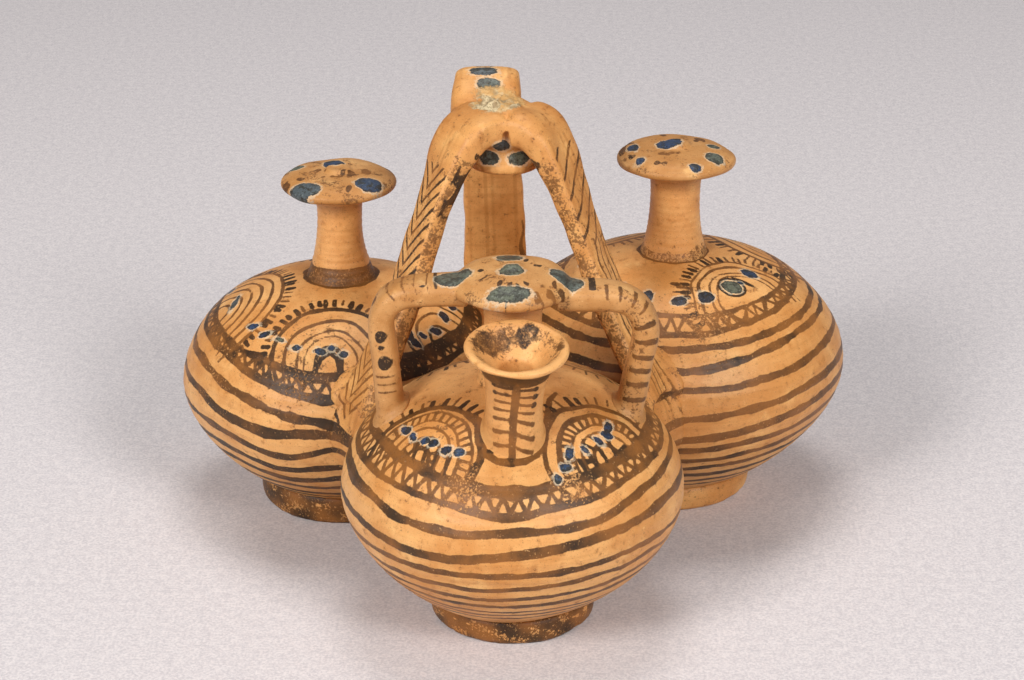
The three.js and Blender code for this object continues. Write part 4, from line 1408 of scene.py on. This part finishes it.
def clay_finish(name, pale, warm, halo_strength, gloss=0.44, figured=False):
    f = Finish(name)
    broad = f.noise(34, 3)
    cloud = f.noise(9, 4, 0.6)
    mottle = f.noise(2.6, 4, 0.6)
    grain = f.noise(0.7, 3, 0.6)
    dust = f.noise(0.32, 2, 0.5)
    turning = f.noise(1.3, 3, 0.5, (0.06, 0.06, 1))
    paint, tone, spot, tint = (f.drawn(key) for key in ("paint", "tone", "spot", "tint"))
    wear, soot, crust = f.drawn("wear"), f.drawn("soot"), f.drawn("crust")
    wiped = 0.5
    if figured:
        paint = figures(f, paint)
        wiped = f.node("ShaderNodeTexNoise", {"noise_dimensions": "1D"},
                       {"W": f.drawn("crossways") * 0.55 + mottle * 0.3, "Scale": 1, "Detail": 0}, "Fac")

    base = f.mix((broad * 0.7 + cloud * 0.5).between(0.44, 0.76), colour(*warm), colour(*pale))
    base = f.mix(turning.between(0.5, 0.75) * 0.22, base, colour(164, 102, 42))
    base = f.mix(mottle.between(0.52, 0.74) * 0.55, base, colour(168, 104, 46))
    if figured:
        base = f.mix(wiped.between(0.5, 0.74) * 0.35, base, colour(158, 96, 38))
    base = f.mix(cloud.between(0.6, 0.78) * 0.45, base, colour(242, 194, 124))
    base = f.mix(grain.between(0.62, 0.76) * 0.4, base, colour(244, 204, 140))
    speckled = (grain * 0.7 + mottle * 0.6 + soot * 0.45).between(0.84, 0.94)
    base = f.mix(speckled * 0.7, base, colour(88, 54, 24))
    base = f.mix(dust.between(0.62, 0.72) * 0.6, base, colour(84, 50, 22))

    worn = grain * 0.8 + mottle * 0.25 + wear * 0.3
    flakes = worn.between(0.7, 0.79)
    frayed = paint + (grain - 0.5) * 0.5 + (mottle - 0.5) * 0.6
    film = frayed.between(-0.14, 0.14) * (1 - flakes * 0.85)
    depth = (tone + (broad - 0.5) * 1.6 + (cloud - 0.5) * 1.2 + (mottle - 0.5) * 0.6).between(-0.05, 1.05)
    slip = f.mix(depth, colour(138, 86, 36), colour(34, 21, 10))
    slip = f.mix(dust.between(0.6, 0.72) * 0.4, slip, colour(36, 24, 14))
    base = f.mix(film * 0.96, base, slip)

    halo = (spot + (grain - 0.5) * 1.8 + (mottle - 0.5) * 2.4).between(-0.75, -0.1)
    base = f.mix(halo * halo_strength, base, colour(226, 208, 176))
    spotted = (spot + (grain - 0.5) * 0.9 + (mottle - 0.5) * 1.1).between(-0.08, 0.12)
    glass = f.mix(tint.between(0, 0.3), colour(14, 22, 38), colour(32, 58, 90))
    glass = f.mix(tint.between(0.35, 0.85), glass, colour(92, 98, 82))
    glass = f.mix(mottle.between(0.48, 0.56) * 0.85, glass,
                  f.mix(tint, colour(12, 18, 26), colour(58, 62, 54)))
    glass = f.mix(grain.between(0.58, 0.68) * 0.6, glass,
                  f.mix(tint, colour(66, 92, 118), colour(140, 142, 124)))
    glass = f.mix(grain.between(0.45, 0.36) * 0.85, glass, colour(16, 16, 15))
    glass = f.mix(spot.between(0.6, 0.05) * 0.55, glass, colour(26, 22, 17))
    base = f.mix(spotted * 0.97, base, glass)

    soil = f.mix(mottle.between(0.42, 0.58), colour(150, 132, 100), colour(210, 192, 152))
    soil = f.mix(grain.between(0.54, 0.64) * 0.7, soil, colour(104, 84, 52))
    soil = f.mix(cloud.between(0.46, 0.58) * 0.8, soil, colour(198, 150, 86))
    crusty = (crust + (mottle - 0.5) * 0.9 + (grain - 0.5) * 0.5).between(0.35, 0.6)
    base = f.mix(crusty * 0.9, base, soil)

    rough = 0.16 * grain + gloss - 0.1 + wear * 0.12 + crusty * 0.3 + spotted * -0.14 + speckled * 0.12
    relief = (grain * 0.35 + dust * 0.2 + mottle * 0.5 + turning * 0.35 + film * 0.25 - speckled * 0.4
              + wiped * 0.4 + spotted * (0.2 + mottle * 2) + halo * 0.3 + crusty * mottle * 2.4)
    bump = f.node("ShaderNodeBump", {}, {"Strength": 0.6, "Distance": 0.25 * MM, "Height": relief})
    return f.surfaced({"Base Color": base, "Roughness": rough, "Normal": bump, "Specular IOR Level": 0.35})


def figures(f, paint):
    """Chevrons and slanting stripes, finer than a mesh can carry, from the way along a strap."""
    along, across = f.drawn("lengthways"), f.drawn("crossways")
    pitch, steep = 4.8, 1.64
    climb = (along + (across + 0.8).math("ABSOLUTE") * 1.3) * (1 / pitch)
    chevron = 0.46 - (climb.math("FRACT") - 0.5).math("ABSOLUTE") * (pitch / steep)
    pitch, steep = 6, 1.28
    slant = (along + across * 0.8) * (1 / pitch)
    stripe = 0.5 - (slant.math("FRACT") - 0.5).math("ABSOLUTE") * (pitch / steep)
    chevron = chevron.math("MINIMUM", f.drawn("chevrons"))
    return paint.math("MAXIMUM", chevron.math("MAXIMUM", stripe.math("MINIMUM", f.drawn("stripes"))))


painted_clay = clay_finish("painted_clay", (228, 170, 104), (204, 138, 72), 0.5)
plain_clay = clay_finish("plain_clay", (230, 172, 106), (206, 142, 78), 0.4)
spotted_clay = clay_finish("spotted_clay", (208, 154, 95), (180, 123, 64), 0.45, 0.48)
handle_clay = clay_finish("handle_clay", (224, 164, 96), (196, 130, 66), 0.45, 0.46, True)

# %% [markdown]
# ## Dressing
# Each piece gets its finish, rides on the one rigid body, and stands for the solids that it was
# modelled on.

# %% Finishes, bodies and what each piece stands for


def dress(piece, material, slot, *nodes):
    piece.data.materials.clear()
    piece.data.materials.append(material)
    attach(piece, "root")
    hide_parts(*nodes)


for name in jars:
    dress(bodies[name][0], painted_clay, "painted_clay", f"{name}_jar_body")
    dress(feet[name], painted_clay, "clay" if name == "right" else "painted_clay", f"{name}_foot_ring")
    dress(necks[name], plain_clay, "clay", f"{name}_neck")
for name, piece in discs.items():
    dress(piece, spotted_clay, "spotted_clay", f"{name}_disc")
dress(spout_skin, plain_clay, "clay", "spout")
dress(stirrups, spotted_clay, "spotted_clay", "front_disc", "stirrup_handle_left", "stirrup_handle_right")
handle_nodes = ["hub_disc"] + [f"{node}_{name}" for node in ("handle_leg", "join_fillet") for name in legs]
dress(handle, handle_clay, "painted_clay", *handle_nodes)

# %% [markdown]
# ## The studio
# The pot stands on a pale grey paper. Two broad soft lights stand in front, to the left and the right,
# and a third hangs above and a little behind. So each side of each jar has its own soft shade, and the
# shadows fall away behind the pot. The pale surroundings light what is left.

# %% Floor and light


def stage_floor():
    deselect()
    bpy.ops.mesh.primitive_plane_add(size=12, location=(0, 2, 0))
    floor = bpy.context.object
    floor.name = "floor"
    f = Finish("paper")
    fleck = f.noise(0.9, 3, 0.7) * 0.7 + f.noise(3, 3, 0.6) * 0.3
    paper = f.mix(fleck.between(0.36, 0.64), colour(196, 189, 190), colour(224, 216, 214))
    floor.data.materials.append(f.surfaced({"Base Color": paper, "Roughness": 0.95}))


def soft_light(name, at, power, size):
    at = Vector(at)
    bpy.ops.object.light_add(type="AREA", location=at)
    light = bpy.context.object
    light.name = name
    light.rotation_euler = (Vector((0, 0, 0.05)) - at).to_track_quat("-Z", "Y").to_euler()
    light.data.energy = power
    light.data.size = size


stage_floor()  # places in metres, power in watts
soft_light("left", (-1.05, -1.3, 1.15), 28, 0.6)
soft_light("right", (1.0, -1.35, 1.2), 24, 0.6)
soft_light("above", (0, 0.4, 1.9), 11, 0.7)
world = bpy.data.worlds.new("studio")
world.use_nodes = True
background = world.node_tree.nodes["Background"].inputs
background["Color"].default_value = (0.92, 0.94, 1, 1)
background["Strength"].default_value = 0.2
bpy.context.scene.world = world
bpy.context.scene.view_settings.view_transform = "Standard"
